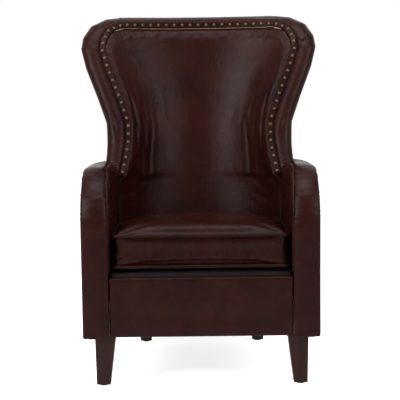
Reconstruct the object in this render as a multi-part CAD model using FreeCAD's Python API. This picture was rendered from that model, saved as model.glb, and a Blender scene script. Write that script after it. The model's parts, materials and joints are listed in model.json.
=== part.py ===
"""A leather wingback armchair with a loose seat cushion, in millimetres, +Z up, facing -Y.

Every size is worked out in a bench frame whose floor is at FLOOR_Z. As each piece is written
it moves by ORIGIN_SHIFT_Y and up from FLOOR_Z, which puts the origin on the floor under the
middle of the finished chair.
"""
import FreeCAD
import Part
import math
import os

V = FreeCAD.Vector
X_AXIS = V(1, 0, 0)
Y_AXIS = V(0, 1, 0)
Z_AXIS = V(0, 0, 1)

# Overall sizes
ORIGIN_SHIFT_Y = 10.89
FRONT_Y = -385.0          # front plane of the arm fronts
SEAT_HALF = 273.0         # inside arm face from the middle
ARM_WIDTH = 80.0          # an arm from its inside face to its outside
ARM_HALF_WIDTH = SEAT_HALF + ARM_WIDTH
ARM_TOP_Z = 626.0         # flat run of the arm top
CREST_NAIL_Z = 1089.0     # nail line of the crest
SWOOP_R = 165.0           # radius of the arm's curve from top to front
BODY_BOTTOM_Z = 133.0     # lower edge of the covers
LEG_TOP_Z = BODY_BOTTOM_Z + 1.7
FLOOR_Z = -13.5           # floor in the bench frame

# Leather, cloth and running gaps
LEATHER = 2.5
CLOTH = 1.5
GAP = 0.3

# Back: a straight rake, measured at the front of the webbing
BACK_RAKE = 0.1724        # mm back for each mm up
BACK_LINE_Y = 200.0       # at BACK_LINE_Z
BACK_LINE_Z = 430.0
WEB_THICK = 1.0           # back webbing
BACK_FOAM = 50.0          # foam thickness in the middle of the back
OUTER_BACK_Y = 232.0      # outside back in the middle, at the body bottom
OUTER_BACK_RAKE = 0.1447
OUTER_BACK_BOW = 20.0     # how far the middle stands behind the corners

# Nails and the strip that they run in
NAIL_PITCH = 28.0
NAIL_HEAD_R = 5.5
NAIL_HEAD_H = 3.2
NAIL_SEAT = 0.25          # head off the strip
NAIL_BRIDGE = 0.35        # more for the middle nail, where the strip bends under it
STRIP_HALF = 8.5          # half width of the nail strip
STRIP_THICK = 3.0
STRIP_BACK = 2.0          # strip face behind the nail line
STRIP_CLEAR = 0.5         # strip to the covers beside it

# Seat
RAIL_BOTTOM_Z = LEG_TOP_Z + 0.3
RAIL_TOP_Z = 240.0
RAIL_THICK = 26.0
APRON_TOP_Z = 312.0
CUSHION_HALF = SEAT_HALF - 5.0
CUSHION_FRONT_Y = FRONT_Y + 11.0
CUSHION_REAR_Y = 112.0
CUSHION_REAR_R = 330.0    # rear edge of the cushion, an arc across the chair
CUSHION_REAR_CORNER_R = 130.0
CUSHION_CORNER_R = 26.0
WELT_R = 4.0
WELT_INSET = 4.3          # centre line of a welt in from the cushion's outline
EDGE_INSET = 8.6          # panels and boxing in from the outline, inside the welts
WELT_LOW_Z = 343.0
WELT_HIGH_Z = 435.0
CROWN_TOP = 27.0          # height of the crown above the top welt
CROWN_BOTTOM = 17.0
BOXING_DRAW = 5.0         # how far the boxing is drawn in at half height
DECK_TOP_Z = WELT_LOW_Z - CROWN_BOTTOM - GAP

# Legs
FRONT_LEG_TOP = 61.0
FRONT_LEG_FOOT = 41.0
REAR_LEG_TOP = 57.0
REAR_LEG_FOOT = 38.0
LEG_EDGE = 2.0            # eased corners of the legs
GLIDE_R = 12.0
GLIDE_H = 5.0
BOLT_R = 4.0
BOLT_HOLE_R = 4.2
BOLT_IN_LEG = 30.0
BOLT_IN_POST = 50.0
BLOCK_TOP_Z = RAIL_TOP_Z - 8.0
NUT_R = 8.0
NUT_H = 7.0

# Back webbing
WEB_COUNT = 6
WEB_LOW_Z = 470.0
WEB_SPACING = 100.0
WEB_WIDTH = 50.0

# Seat springs
SPRING_COUNT = 4
SPRING_SPACING = 100.0
SPRING_WIRE_R = 1.9
SPRING_HALF_WIDTH = 34.0  # centre line of the wire from the spring's middle
SPRING_TURNS = 10         # half turns
SPRING_Z = RAIL_TOP_Z + 7.5

# Rim of the right wing, from the arm up round the corner. Each row: nail line, x outside the
# inside arm face, y and height; outer edge, x, y and height; pad crown; how far the crown turns
# from forward (0) to outward (1). A height is a share of the way from the arm top to the
# crest's nails.
WING_RIM = [
    (-20.0, -30.0, -0.07, 14.0, -36.0, -0.07, 8.0, 0.0),
    (-29.0, -6.0, 0.02, 31.0, 2.0, 0.02, 18.0, 0.05),
    (-41.0, 30.0, 0.18, 27.0, 44.0, 0.18, 24.0, 0.10),
    (-33.0, 52.0, 0.34, 37.0, 68.0, 0.34, 25.0, 0.10),
    (8.0, 80.0, 0.566, 80.0, 99.0, 0.566, 25.0, 0.10),
    (44.0, 112.0, 0.773, 113.0, 133.0, 0.773, 25.0, 0.12),
    (48.0, 130.0, 0.862, 115.5, 160.0, 0.875, 25.0, 0.20),
    (34.0, 155.0, 0.94, 97.0, 205.0, 0.957, 23.0, 0.42),
    (10.0, 183.0, 0.981, 57.0, 265.0, 1.002, 20.0, 0.68),
]
RIM_STEPS = 11            # cross-sections of the wing's rim
CREST_SEAM_X = SEAT_HALF - 15.0     # seam between crest band and wing band
CREST_SEAM_Y = 203.0
CREST_CROWN = 17.0
CREST_OUTER_Z = CREST_NAIL_Z + 13.0

# Inside back below the rim: x inside the inside arm face, edge y and height as a share of the
# way from the seat platform to the rim's lower end
INSIDE_BACK_LOW = [
    (8.0, -12.0, 0.0),
    (4.5, -22.0, 0.22),
    (4.5, -26.0, 0.50),
    (4.5, -29.0, 0.78),
    (11.0, -31.0, 0.92),
    (33.0, -31.0, 0.985),
]
# Outside back: x outside the inside arm face and height as a share of the way from the arm
# top to the crest's nails
OUTER_BACK_ROWS = [
    (-13.0, 0.03),
    (-9.0, 0.18),
    (-1.0, 0.34),
    (27.0, 0.566),
    (55.0, 0.773),
    (58.0, 0.87),
    (49.0, 0.94),
    (27.0, 0.985),
    (-15.0, 1.018),
]

TUCK_RECESS = 6.0         # the inside back draws back behind the cushion by this much


def line(a, b):
    """Straight edge."""
    return Part.makeLine(a, b)


def arc(a, m, b):
    """Arc through three points."""
    return Part.Arc(a, m, b).toShape()


def closed(points):
    """Closed wire of straight edges."""
    return Part.makePolygon(points + [points[0]])


def loft(sections, ruled=False):
    """Solid through closed wires of like edges."""
    return Part.makeLoft(sections, True, ruled)


def box(x0, x1, y0, y1, z0, z1):
    """Upright block between two corners."""
    return Part.makeBox(x1 - x0, y1 - y0, z1 - z0, V(x0, y0, z0))


def rod(radius, height, base, direction=Z_AXIS):
    """Round bar."""
    return Part.makeCylinder(radius, height, base, direction)


def prism(points, z0, z1):
    """Plan outline of straight edges, raised from z0 to z1."""
    face = Part.Face(closed([V(x, y, z0) for x, y in points]))
    return face.extrude(V(0, 0, z1 - z0))


def mirrored(shape):
    """The same piece on the left side."""
    return shape.mirror(V(0, 0, 0), X_AXIS)


# Back lines

def back_line(z):
    """Front of the back webbing at a height."""
    return BACK_LINE_Y + BACK_RAKE * (z - BACK_LINE_Z)


def inside_back_y(z):
    """Middle of the inside back cover at a height."""
    face = back_line(z) - BACK_FOAM - LEATHER - WEB_THICK - 5 * GAP
    if z < WELT_HIGH_Z:
        face += TUCK_RECESS * (WELT_HIGH_Z - z) / (WELT_HIGH_Z - BODY_BOTTOM_Z)
    return face


def outer_back_y(z):
    """Middle of the outside back cover at a height."""
    return OUTER_BACK_Y + OUTER_BACK_RAKE * (z - BODY_BOTTOM_Z)


def barrel(edge_x, edge_y, middle_y):
    """Centre y, radius and half angle of the arc across the chair through three points."""
    depth = middle_y - edge_y
    radius = (edge_x ** 2 + depth ** 2) / (2 * depth)
    centre = middle_y - radius
    return centre, radius, math.atan2(edge_x, edge_y - centre)


def rise(share):
    """Height at a share of the way from the arm top to the crest's nails."""
    return ARM_TOP_Z + share * (CREST_NAIL_Z - ARM_TOP_Z)


def outer_back_rows():
    """Half width and height of the outside back, from the bottom to the crest seam."""
    upper = [(SEAT_HALF + x, rise(share)) for x, share in OUTER_BACK_ROWS]
    low_x = upper[0][0] - 8.0
    middle_z = (BODY_BOTTOM_Z + upper[0][1]) / 2
    return [(low_x, BODY_BOTTOM_Z), ((low_x + upper[0][0]) / 2, middle_z)] + upper


def rim_point(row, first):
    """Point of a rim row that starts at a column."""
    return V(SEAT_HALF + row[first], row[first + 1], rise(row[first + 2]))


# Rim of the back

class RimStation:
    """One cross-section of the padded rim: nail point, outer edge and crown direction."""

    def __init__(self, nail, outer, across, crown, turn):
        self.nail = nail
        self.across = across
        self.inner = nail + across * (STRIP_HALF + STRIP_CLEAR)
        self.outer = outer
        self.edge = nail - across * (STRIP_HALF + LEATHER + 2 * STRIP_CLEAR)
        lift = V(0, -1, 0) * (1 - turn) + V(across.x, 0, across.z) * turn
        chord = (self.outer - self.inner).normalize()
        lift = lift - chord * lift.dot(chord)
        self.lift = lift.normalize()
        self.chord = chord
        self.crown = crown
        self.top = (self.inner + self.outer) * 0.5 + self.lift * crown

    def skin(self):
        """Section of the leather over the rim."""
        t = LEATHER
        inner = self.inner + self.chord * t
        outer = self.outer - self.chord * t
        top = self.top - self.lift * t
        return Part.Wire([arc(self.inner, self.top, self.outer), line(self.outer, outer),
                          arc(outer, top, inner), line(inner, self.inner)])

    def pad(self):
        """Section of the stuffing under the leather."""
        t = LEATHER + 2 * GAP
        inner = self.inner + self.chord * t
        outer = self.outer - self.chord * t
        top = self.top - self.lift * t
        return Part.Wire([arc(inner, top, outer), line(outer, inner)])

    def strip(self):
        """Section of the nail strip, set back from the covers beside it."""
        back = V(0, 1, 0)
        front = STRIP_BACK
        a = self.nail - self.across * STRIP_HALF + back * front
        b = self.nail + self.across * STRIP_HALF + back * front
        return closed([a, b, b + back * STRIP_THICK, a + back * STRIP_THICK])


def curve_through(points):
    """Smooth curve whose parameter counts the points."""
    curve = Part.BSplineCurve()
    curve.interpolate(Points=points, Parameters=[float(i) for i in range(len(points))])
    return curve


def nail_curve():
    """Nail line of the right wing, from the arm to the crest seam."""
    points = [rim_point(row, 0) for row in WING_RIM]
    points.append(V(CREST_SEAM_X, crest_y(CREST_SEAM_X), CREST_NAIL_Z))
    return curve_through(points)


def crest_arc():
    """Arc of the crest's nail line across the chair."""
    return barrel(CREST_SEAM_X, CREST_SEAM_Y, inside_back_y(CREST_NAIL_Z))


def crest_y(x):
    """Depth of the crest's nail line at a distance from the middle."""
    centre, radius, _ = crest_arc()
    return centre + math.sqrt(radius ** 2 - x ** 2)


def outer_edge_y(x, z):
    """Outside back at a distance from the middle, bowed across the chair."""
    return outer_back_y(z) - OUTER_BACK_BOW * (x / 300.0) ** 2


def between(rows, column, u):
    """Value of a column part of the way between two rows."""
    i = min(int(u), len(rows) - 2)
    share = u - i
    return rows[i][column] * (1 - share) + rows[i + 1][column] * share


def wing_stations():
    """Rim stations from the arm to the crest seam, right side."""
    last = len(WING_RIM)
    nails = nail_curve()
    seam = crest_station(CREST_SEAM_X)
    outers = curve_through([rim_point(row, 3) for row in WING_RIM] + [seam.outer])
    rows = [(row[6], row[7]) for row in WING_RIM] + [(CREST_CROWN, 1.0)]
    stations = []
    for i in range(RIM_STEPS - 1):
        u = last * i / (RIM_STEPS - 1)
        run = nails.tangent(u)[0]
        across = V(run.z, 0, -run.x).normalize()
        stations.append(RimStation(nails.value(u), outers.value(u), across,
                                   between(rows, 0, u), between(rows, 1, u)))
    stations.append(seam)
    return stations


def crest_station(x):
    """Rim station in the crest at a distance from the middle."""
    nail = V(x, crest_y(x), CREST_NAIL_Z)
    outer = V(x, outer_edge_y(x, CREST_OUTER_Z), CREST_OUTER_Z)
    return RimStation(nail, outer, V(0, 0, 1), CREST_CROWN, 1.0)


WING = wing_stations()
CREST_MIDDLE = 4          # index of the middle station
CREST = [crest_station(CREST_SEAM_X * (1 - i / CREST_MIDDLE)) for i in range(2 * CREST_MIDDLE + 1)]


# Inside back: layers between arcs, thick in the middle and thin at the wings

def inside_sections(skip=1):
    """Edge half width, edge y, middle y and height of the inside back cover."""
    top = rim_point(WING_RIM[0], 0).z
    rows = []
    for x, y, share in INSIDE_BACK_LOW:
        z = DECK_TOP_Z + share * (top - DECK_TOP_Z)
        rows.append((SEAT_HALF - x, y, inside_back_y(z), z))
    for s in WING[1:-1:skip]:
        rows.append((s.edge.x, s.edge.y, inside_back_y(s.edge.z), s.edge.z))
    return rows


def layer(row, near_edge, near_middle, far_edge, far_middle, trim=0.0):
    """Plan section between two arcs that stand off the cover's face by given depths."""
    edge_x, edge_y, middle_y, z = row
    centre, radius, angle = barrel(edge_x, edge_y, middle_y)
    angle -= trim / radius
    out = V(math.sin(angle), math.cos(angle), 0)
    edge = V(0, centre, z) + out * radius
    a = edge + out * near_edge
    b = edge + out * far_edge
    near = V(0, middle_y + near_middle, z)
    far = V(0, middle_y + far_middle, z)
    am = V(-a.x, a.y, z)
    bm = V(-b.x, b.y, z)
    return Part.Wire([arc(am, near, a), line(a, b), arc(b, far, bm), line(bm, am)])


def inside_back_cover():
    """Leather of the inside back, one sheet from the tuck to the nail strip."""
    return loft([layer(r, 0, 0, LEATHER, LEATHER) for r in inside_sections()], ruled=True)


FOAM_TRIM = 9.0           # foam ends this far short of the cover's edge, behind the strip
FOAM_EDGE = 3.5           # its thickness there


def back_foam():
    """Foam under the inside back, thick behind the sitter and thin at the wings."""
    near = LEATHER + 5 * GAP
    far = near + BACK_FOAM - 2 * GAP
    return loft([layer(r, near, near, near + FOAM_EDGE, far, FOAM_TRIM)
                 for r in inside_sections()], ruled=True)


# Arms

def swoop_point(inset, angle):
    """Point on the arm's curve in side view; angle 0 is the top, 90 degrees the front."""
    r = SWOOP_R - inset
    cy = FRONT_Y + SWOOP_R
    cz = ARM_TOP_Z - SWOOP_R
    return cy - r * math.sin(angle), cz + r * math.cos(angle)


def arm_side(inset, x, rear_y, bottom_z):
    """Side outline of the arm in the plane at x, inset from its top and front."""
    top = swoop_point(inset, 0)
    mid = swoop_point(inset, math.pi / 4)
    low = swoop_point(inset, math.pi / 2)
    p = [V(x, rear_y, bottom_z), V(x, low[0], bottom_z), V(x, low[0], low[1]),
         V(x, mid[0], mid[1]), V(x, top[0], top[1]), V(x, rear_y, top[1])]
    return Part.Wire([line(p[0], p[1]), line(p[1], p[2]), arc(p[2], p[3], p[4]),
                      line(p[4], p[5]), line(p[5], p[0])])


def arm_slab(inset, x0, x1, rear_y, bottom_z):
    """Arm outline given thickness along x."""
    face = Part.Face(arm_side(inset, x0, rear_y, bottom_z))
    return face.extrude(V(x1 - x0, 0, 0))


ARM_STRAIGHT_Y = -100.0   # where the outside of the arm starts to curve in


def arm_plan(z):
    """Radius and sweep of the outside arm's curve at a height, up to the outside back."""
    corner_x = back_half_width(z)
    corner_y = outer_edge_y(corner_x, z) - LEATHER - GAP
    dx = ARM_HALF_WIDTH - corner_x
    dy = corner_y - ARM_STRAIGHT_Y
    radius = (dx ** 2 + dy ** 2) / (2 * dx)
    return radius, math.asin(dy / radius)


def arm_outer_x(y, z=ARM_TOP_Z):
    """Outside of the arm at a distance along the chair."""
    if y <= ARM_STRAIGHT_Y:
        return ARM_HALF_WIDTH
    radius, _ = arm_plan(z)
    return ARM_HALF_WIDTH - radius + math.sqrt(radius ** 2 - (y - ARM_STRAIGHT_Y) ** 2)


def back_half_width(z):
    """Half width of the outside back at a height below the wings."""
    low, _, high = outer_back_rows()[:3]
    return low[0] + (high[0] - low[0]) * (z - low[1]) / (high[1] - low[1])


# Rows for the arm band on the flat top, rear to front: y, inner edge x outside the inside
# arm face, crown
ARM_TOP_ROWS = [(240.0, -3.0, 4.0), (180.0, 6.0, 4.5), (110.0, 15.0, 5.0), (45.0, 25.0, 5.5),
                (8.0, 34.0, 6.0), (-30.0, 30.0, 6.0), (-75.0, 22.0, 6.0), (-140.0, 17.0, 6.0)]
ARM_INNER_TOP_X = SEAT_HALF + 17.0
ARM_INNER_FRONT_X = SEAT_HALF + 2.0
ARM_CROWN_TOP = 6.0       # how far the strip crowns on the flat top
ARM_CROWN = 9.0           # and down the front
LEAST_CROWN = 0.3         # a layer under thick leather keeps this much crown
ARM_PAD = 10.0
SWOOP_STEPS = 9


def arm_frames(foot_z=BODY_BOTTOM_Z):
    """Stations of the arm band, back to foot: inner edge, outer edge, outward, crown."""
    frames = []
    for y, x_in, crown in ARM_TOP_ROWS:
        frames.append((V(SEAT_HALF + x_in, y, ARM_TOP_Z), V(arm_outer_x(y), y, ARM_TOP_Z), Z_AXIS,
                       crown))
    frames += swoop_frames()
    frames.append((V(ARM_INNER_FRONT_X, FRONT_Y, foot_z),
                   V(ARM_HALF_WIDTH, FRONT_Y, foot_z), V(0, -1, 0), ARM_CROWN))
    return frames


def swoop_frames():
    """Stations of the arm band round its curve."""
    frames = []
    for i in range(SWOOP_STEPS + 1):
        share = i / SWOOP_STEPS
        a = math.pi / 2 * share
        y, z = swoop_point(0, a)
        x_in = ARM_INNER_TOP_X + (ARM_INNER_FRONT_X - ARM_INNER_TOP_X) * share
        out = V(0, -math.sin(a), math.cos(a))
        crown = ARM_CROWN_TOP + (ARM_CROWN - ARM_CROWN_TOP) * share
        frames.append((V(x_in, y, z), V(ARM_HALF_WIDTH, y, z), out, crown))
    return frames


def band_section(frame, near, far_chord=None):
    """Section of an arm layer: near is its depth under the leather face."""
    inner, outer, out, crown = frame
    chord = (outer - inner).normalize()
    a = inner + chord * near
    b = outer - chord * near
    mid = (inner + outer) * 0.5 + out * max(crown - near, LEAST_CROWN)
    if far_chord is None:
        t = LEATHER
        a2 = a + chord * t
        b2 = b - chord * t
        mid2 = mid - out * t
        return Part.Wire([arc(a, mid, b), line(b, b2), arc(b2, mid2, a2), line(a2, a)])
    b2 = b - out * far_chord
    a2 = a - out * far_chord
    return Part.Wire([arc(a, mid, b), line(b, b2), line(b2, a2), line(a2, a)])


def arm_band():
    """Leather strip from the back, over the arm, down its front."""
    return loft([band_section(f, 0.0) for f in arm_frames()], ruled=True)


def arm_band_pad():
    """Stuffing between the arm frame and its leather strip."""
    return loft([band_section(f, LEATHER + 1.0, ARM_PAD) for f in arm_frames(LEG_TOP_Z + GAP)],
                ruled=True)


INSIDE_ARM_REAR_Y = -46.0
INSIDE_ARM_TUCK_Y = -20.0  # how far back the flat side reaches behind the inside back's edge
INSIDE_ARM_STEP = 24.0    # the flat side ends this far under the roll there
INSIDE_ARM_ROLL = 22.0    # how far down the side the roll of the inside arm reaches
INSIDE_ARM_Z = DECK_TOP_Z + 2.0


def roll_section(frame, near, deep):
    """Section of the leather that rolls from the arm strip's seam down to the inside arm."""
    inner, _, out, _ = frame
    x_face = SEAT_HALF + near
    seam = V(inner.x - GAP, inner.y, inner.z) - out * (1.0 + near)
    low = V(x_face, inner.y, inner.z) - out * INSIDE_ARM_ROLL
    width = seam.x - x_face
    fall = INSIDE_ARM_ROLL - 1.0 - near
    mid = V(seam.x - width * 0.72, inner.y, inner.z) - out * (1.0 + near + fall * 0.24)
    seam2 = seam - out * deep
    low2 = low + V(deep, 0, 0)
    mid2 = mid + V(deep * 0.7, 0, 0) - out * (deep * 0.7)
    return Part.Wire([arc(seam, mid, low), line(low, low2), arc(low2, mid2, seam2),
                      line(seam2, seam)])


def inside_arm_frames():
    """Arm stations that carry the inside arm's roll."""
    rear = (V(ARM_INNER_TOP_X, INSIDE_ARM_REAR_Y, ARM_TOP_Z), None, Z_AXIS, 0)
    foot = (V(ARM_INNER_FRONT_X, FRONT_Y, INSIDE_ARM_Z), None, V(0, -1, 0), 0)
    return [rear] + swoop_frames() + [foot]


def inside_arm_cover():
    """Leather of the inside arm: flat side and the roll over to the arm strip."""
    frames = inside_arm_frames()
    roll = loft([roll_section(f, 0.0, LEATHER) for f in frames], ruled=True)
    edge = [V(SEAT_HALF, f[0].y, f[0].z) - f[2] * INSIDE_ARM_ROLL for f in frames]
    step = edge[0].z - INSIDE_ARM_STEP
    edge = [V(SEAT_HALF, INSIDE_ARM_TUCK_Y, step), V(SEAT_HALF, INSIDE_ARM_REAR_Y, step)] + edge
    edge.append(V(SEAT_HALF, INSIDE_ARM_TUCK_Y, INSIDE_ARM_Z))
    side = Part.Face(closed(edge)).extrude(V(LEATHER, 0, 0))
    return side.fuse(roll)


def inside_arm_pad():
    """Foam of the inside arm, between its leather and the arm frame."""
    return arm_slab(INSIDE_ARM_ROLL + 2.0, SEAT_HALF + LEATHER + GAP, POST_INNER_X - GAP,
                    INSIDE_ARM_REAR_Y, INSIDE_ARM_Z)


def outside_arm_section(z):
    """Plan section of the outside arm's leather: straight run, then a curve to the back."""
    radius, sweep = arm_plan(z)
    centre = V(ARM_HALF_WIDTH - radius, ARM_STRAIGHT_Y, z)

    def curve(r, share):
        return centre + V(r * math.cos(sweep * share), r * math.sin(sweep * share), 0)

    inner = radius - LEATHER
    front = V(ARM_HALF_WIDTH, FRONT_Y + 1.0, z)
    front2 = front - V(LEATHER, 0, 0)
    return Part.Wire([line(front, curve(radius, 0)),
                      arc(curve(radius, 0), curve(radius, 0.5), curve(radius, 1)),
                      line(curve(radius, 1), curve(inner, 1)),
                      arc(curve(inner, 1), curve(inner, 0.5), curve(inner, 0)),
                      line(curve(inner, 0), front2), line(front2, front)])


def outside_arm_cover():
    """Leather of the outside arm, from the front edge back to the outside back."""
    skin = loft([outside_arm_section(z) for z in (BODY_BOTTOM_Z, 391.0, ARM_TOP_Z)], ruled=True)
    return skin.common(arm_slab(LEATHER + 1.0, 200.0, 360.0, 320.0, BODY_BOTTOM_Z - 1))


# Frame of the arm and seat

POST_FRONT_Y = FRONT_Y + 12.5
POST_REAR_Y = -275.0
POST_INNER_X = SEAT_HALF + 23.0
POST_OUTER_X = ARM_HALF_WIDTH - 6.0
ARM_RAIL_Z = ARM_TOP_Z - 35.0
ARM_FRAME_INSET = ARM_PAD + 1.0
BACK_POST_X0 = SEAT_HALF - 93.0
BACK_POST_X1 = BACK_POST_X0 + 36.0
BACK_POST_DEEP = 35.0


def arm_post():
    """Front arm post, its top shaped to the arm's curve."""
    block = box(POST_INNER_X, POST_OUTER_X, POST_FRONT_Y, POST_REAR_Y, RAIL_BOTTOM_Z, ARM_TOP_Z)
    return block.common(arm_slab(ARM_FRAME_INSET, 200.0, 360.0, 300.0, 100.0))


def arm_rail():
    """Flat top board of the arm, from its front post to the back post."""
    outline = [(POST_INNER_X, POST_REAR_Y + GAP), (POST_OUTER_X, POST_REAR_Y + GAP),
               (POST_OUTER_X, -60.0), (POST_OUTER_X - 20.0, 80.0), (POST_OUTER_X - 56.0, 190.0),
               (BACK_POST_X1 + 42.0, 262.0), (BACK_POST_X1 + GAP, 262.0),
               (BACK_POST_X1 + GAP, 236.0), (POST_INNER_X - 30.0, 90.0),
               (POST_INNER_X - 30.0, -8.0), (POST_INNER_X + 13.0, -8.0),
               (POST_INNER_X + 13.0, -46.0), (POST_INNER_X, -46.0)]
    board = prism(outline, ARM_RAIL_Z, ARM_TOP_Z - ARM_FRAME_INSET)
    return board.common(arm_slab(ARM_FRAME_INSET, 200.0, 360.0, 300.0, 100.0))


def side_rail():
    """Side seat rail, slanting in towards the back post."""
    rear = back_line(RAIL_TOP_Z)
    outline = [(POST_INNER_X, POST_REAR_Y + GAP), (POST_INNER_X + RAIL_THICK, POST_REAR_Y + GAP),
               (POST_INNER_X + RAIL_THICK, -20.0), (BACK_POST_X1 + GAP + RAIL_THICK, rear + 30.0),
               (BACK_POST_X1 + GAP, rear + 30.0), (BACK_POST_X1 + GAP, rear - 20.0),
               (POST_INNER_X, -30.0)]
    return prism(outline, RAIL_BOTTOM_Z, RAIL_TOP_Z)


def front_rail():
    """Front seat rail between the arm posts."""
    half = POST_INNER_X - GAP
    return box(-half, half, POST_FRONT_Y, POST_FRONT_Y + RAIL_THICK, RAIL_BOTTOM_Z, RAIL_TOP_Z)


def rear_rail():
    """Rear seat rail between the back posts."""
    half = BACK_POST_X0 - GAP
    front = back_line(RAIL_TOP_Z)
    return box(-half, half, front, front + RAIL_THICK, RAIL_BOTTOM_Z, RAIL_TOP_Z)


def tuck_rail():
    """Lower back rail that the inside back is tacked to."""
    half = BACK_POST_X0 - GAP
    z0 = 340.0
    z1 = 392.0
    front = back_line(z1) + 8.0
    return box(-half, half, front, front + RAIL_THICK - 2.0, z0, z1)


def back_post():
    """Raked back post, from the rear leg up to the crest rail."""
    def outline(z):
        y = back_line(z)
        return closed([V(BACK_POST_X0, y, z), V(BACK_POST_X1, y, z),
                       V(BACK_POST_X1, y + BACK_POST_DEEP, z),
                       V(BACK_POST_X0, y + BACK_POST_DEEP, z)])
    post = loft([outline(RAIL_BOTTOM_Z), outline(CREST_RAIL_Z - GAP)], ruled=True)
    return post.cut(REAR_LEG.bolt_hole(BOLT_IN_POST))


CREST_RAIL_Z = CREST_NAIL_Z - 35.0


def crest_rail_section(s):
    """Section of the crest rail: an upright board with a top board over the foam."""
    x = s.nail.x
    top = s.inner.z - GAP
    step = s.edge.z + GAP
    front = s.nail.y + STRIP_THICK + STRIP_BACK + GAP
    mid = crest_y(x) + BACK_FOAM + 8.0
    rear = s.outer.y - 12.0
    return closed([V(x, front, step), V(x, front, top), V(x, rear, top), V(x, rear, CREST_RAIL_Z),
                   V(x, mid, CREST_RAIL_Z), V(x, mid, step)])


def crest_rail():
    """Crest rail, curved across the chair."""
    return loft([crest_rail_section(s) for s in CREST], ruled=True)


def wing_post():
    """Shaped front post of the wing, standing on the arm rail."""
    sections = []
    first = ARM_TOP_Z - ARM_FRAME_INSET + GAP
    for nail, outer_edge in rim_above(first):
        inner = V(nail.x - 1.0, nail.y + STRIP_BACK + STRIP_THICK + 2.0, nail.z)
        outer = V(outer_edge.x - 8.0, outer_edge.y + 3.0, nail.z)
        sections.append(closed([inner, outer, outer + V(-6.0, WING_POST_DEEP, 0),
                                inner + V(2.0, WING_POST_DEEP, 0)]))
    return loft(sections, ruled=True)


def rim_above(z):
    """Nail point and outer edge of the wing at a height and at each station over it."""
    over = [w for w in WING if z < w.nail.z < WING_POST_TOP_Z]
    i = WING.index(over[0])
    low = WING[i - 1]
    share = (z - low.nail.z) / (over[0].nail.z - low.nail.z)
    first = (low.nail + (over[0].nail - low.nail) * share,
             low.outer + (over[0].outer - low.outer) * share)
    return [first] + [(w.nail, w.outer) for w in over]


WING_POST_DEEP = 26.0
WING_POST_TOP_Z = CREST_NAIL_Z - 70.0


def wing_rail():
    """Top rail of the wing, from its post round the corner to the crest rail."""
    sections = []
    for s in [w for w in WING if w.nail.z > WING_POST_TOP_Z]:
        deep = s.lift * -22.0
        a = s.inner + s.chord * 9.0 - s.lift * 1.0
        b = s.outer - s.chord * 12.0 - s.lift * 1.0
        sections.append(closed([a, b, b + deep, a + deep]))
    return loft(sections, ruled=True)


# Covers of the back

def outer_back_section(row, depth):
    """Plan section of the outside back cover."""
    x, z = row
    middle = outer_back_y(z)
    edge = middle - OUTER_BACK_BOW * (x / 300.0) ** 2
    a = V(x, edge, z)
    b = V(-x, edge, z)
    inward = V(0, -depth, 0)
    m = V(0, middle, z)
    return Part.Wire([arc(b, m, a), line(a, a + inward),
                      arc(a + inward, m + inward, b + inward), line(b + inward, b)])


def outside_back_cover():
    """Leather of the outside back."""
    return loft([outer_back_section(r, LEATHER) for r in outer_back_rows()], ruled=True)


def outside_wing_cover():
    """Leather of the outside wing, from the rim to the outside back."""
    rows = outer_back_rows()[2:]
    edges = curve_through([V(x, outer_edge_y(x, z) - LEATHER - 1.8, z) for x, z in rows])
    stations = [w for w in WING if w.outer.z > ARM_TOP_Z + 8.0]
    sections = []
    for i, s in enumerate(stations):
        b = edges.value((len(rows) - 1) * (i + 1) / len(stations))
        sections.append(wing_cover_section(s.outer, b, s.across))
    first = stations[0]
    base_edge = edges.value(0)
    rim = V(first.outer.x, first.outer.y - 12.0, ARM_TOP_Z + 7.0)
    base = wing_cover_section(rim, V(base_edge.x, base_edge.y, rim.z), first.across)
    return loft([base] + sections, ruled=True)


def wing_cover_section(rim, back, across):
    """Strip of the outside wing's leather from the rim to the back."""
    a = rim + V(0, LEATHER + GAP, 0)
    run = (back - a).normalize()
    side = V(across.x, 0, across.z)
    side = (side - run * side.dot(run)).normalize() * -LEATHER
    return closed([a, back, back + side, a + side])


def apron():
    """Padded front panel under the cushion: leather skin and its stuffing."""
    half = ARM_INNER_FRONT_X - 1.5
    front = FRONT_Y + 2.0
    back = POST_FRONT_Y - GAP
    top = APRON_TOP_Z
    block = box(-half, half, front, back, BODY_BOTTOM_Z, top)
    skin = block.makeFillet(7.0, [e for e in block.Edges if is_front_edge(e, front)])
    t = LEATHER
    hollow = box(-half + t, half - t, front + t, back + 1, BODY_BOTTOM_Z - 1, top - t)
    pad = box(-half + t + GAP, half - t - GAP, front + t + GAP, back,
              BODY_BOTTOM_Z + t, top - t - GAP)
    over_legs = box(-half - 1, half + 1, front + t + GAP, back + 1, BODY_BOTTOM_Z - 1,
                    LEG_TOP_Z + GAP)
    return skin.cut(hollow).cut(over_legs), pad


def is_front_edge(edge, front):
    """Whether an edge lies in the front face."""
    return edge.BoundBox.YMax < front + 0.01


# Seat platform

DECK_FRONT_Y = POST_FRONT_Y + 0.5     # front of the platform cloth, behind the apron


def seat_outline(inset, rear):
    """Plan of the platform inside the rails, rounded to the inside back at the rear."""
    half = SEAT_HALF - inset
    front = POST_FRONT_Y + RAIL_THICK + inset
    return [(-half, front), (half, front), (half, -40.0), (185.0, 90.0), (140.0, rear - inset),
            (-140.0, rear - inset), (-185.0, 90.0), (-half, -40.0)]


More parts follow.
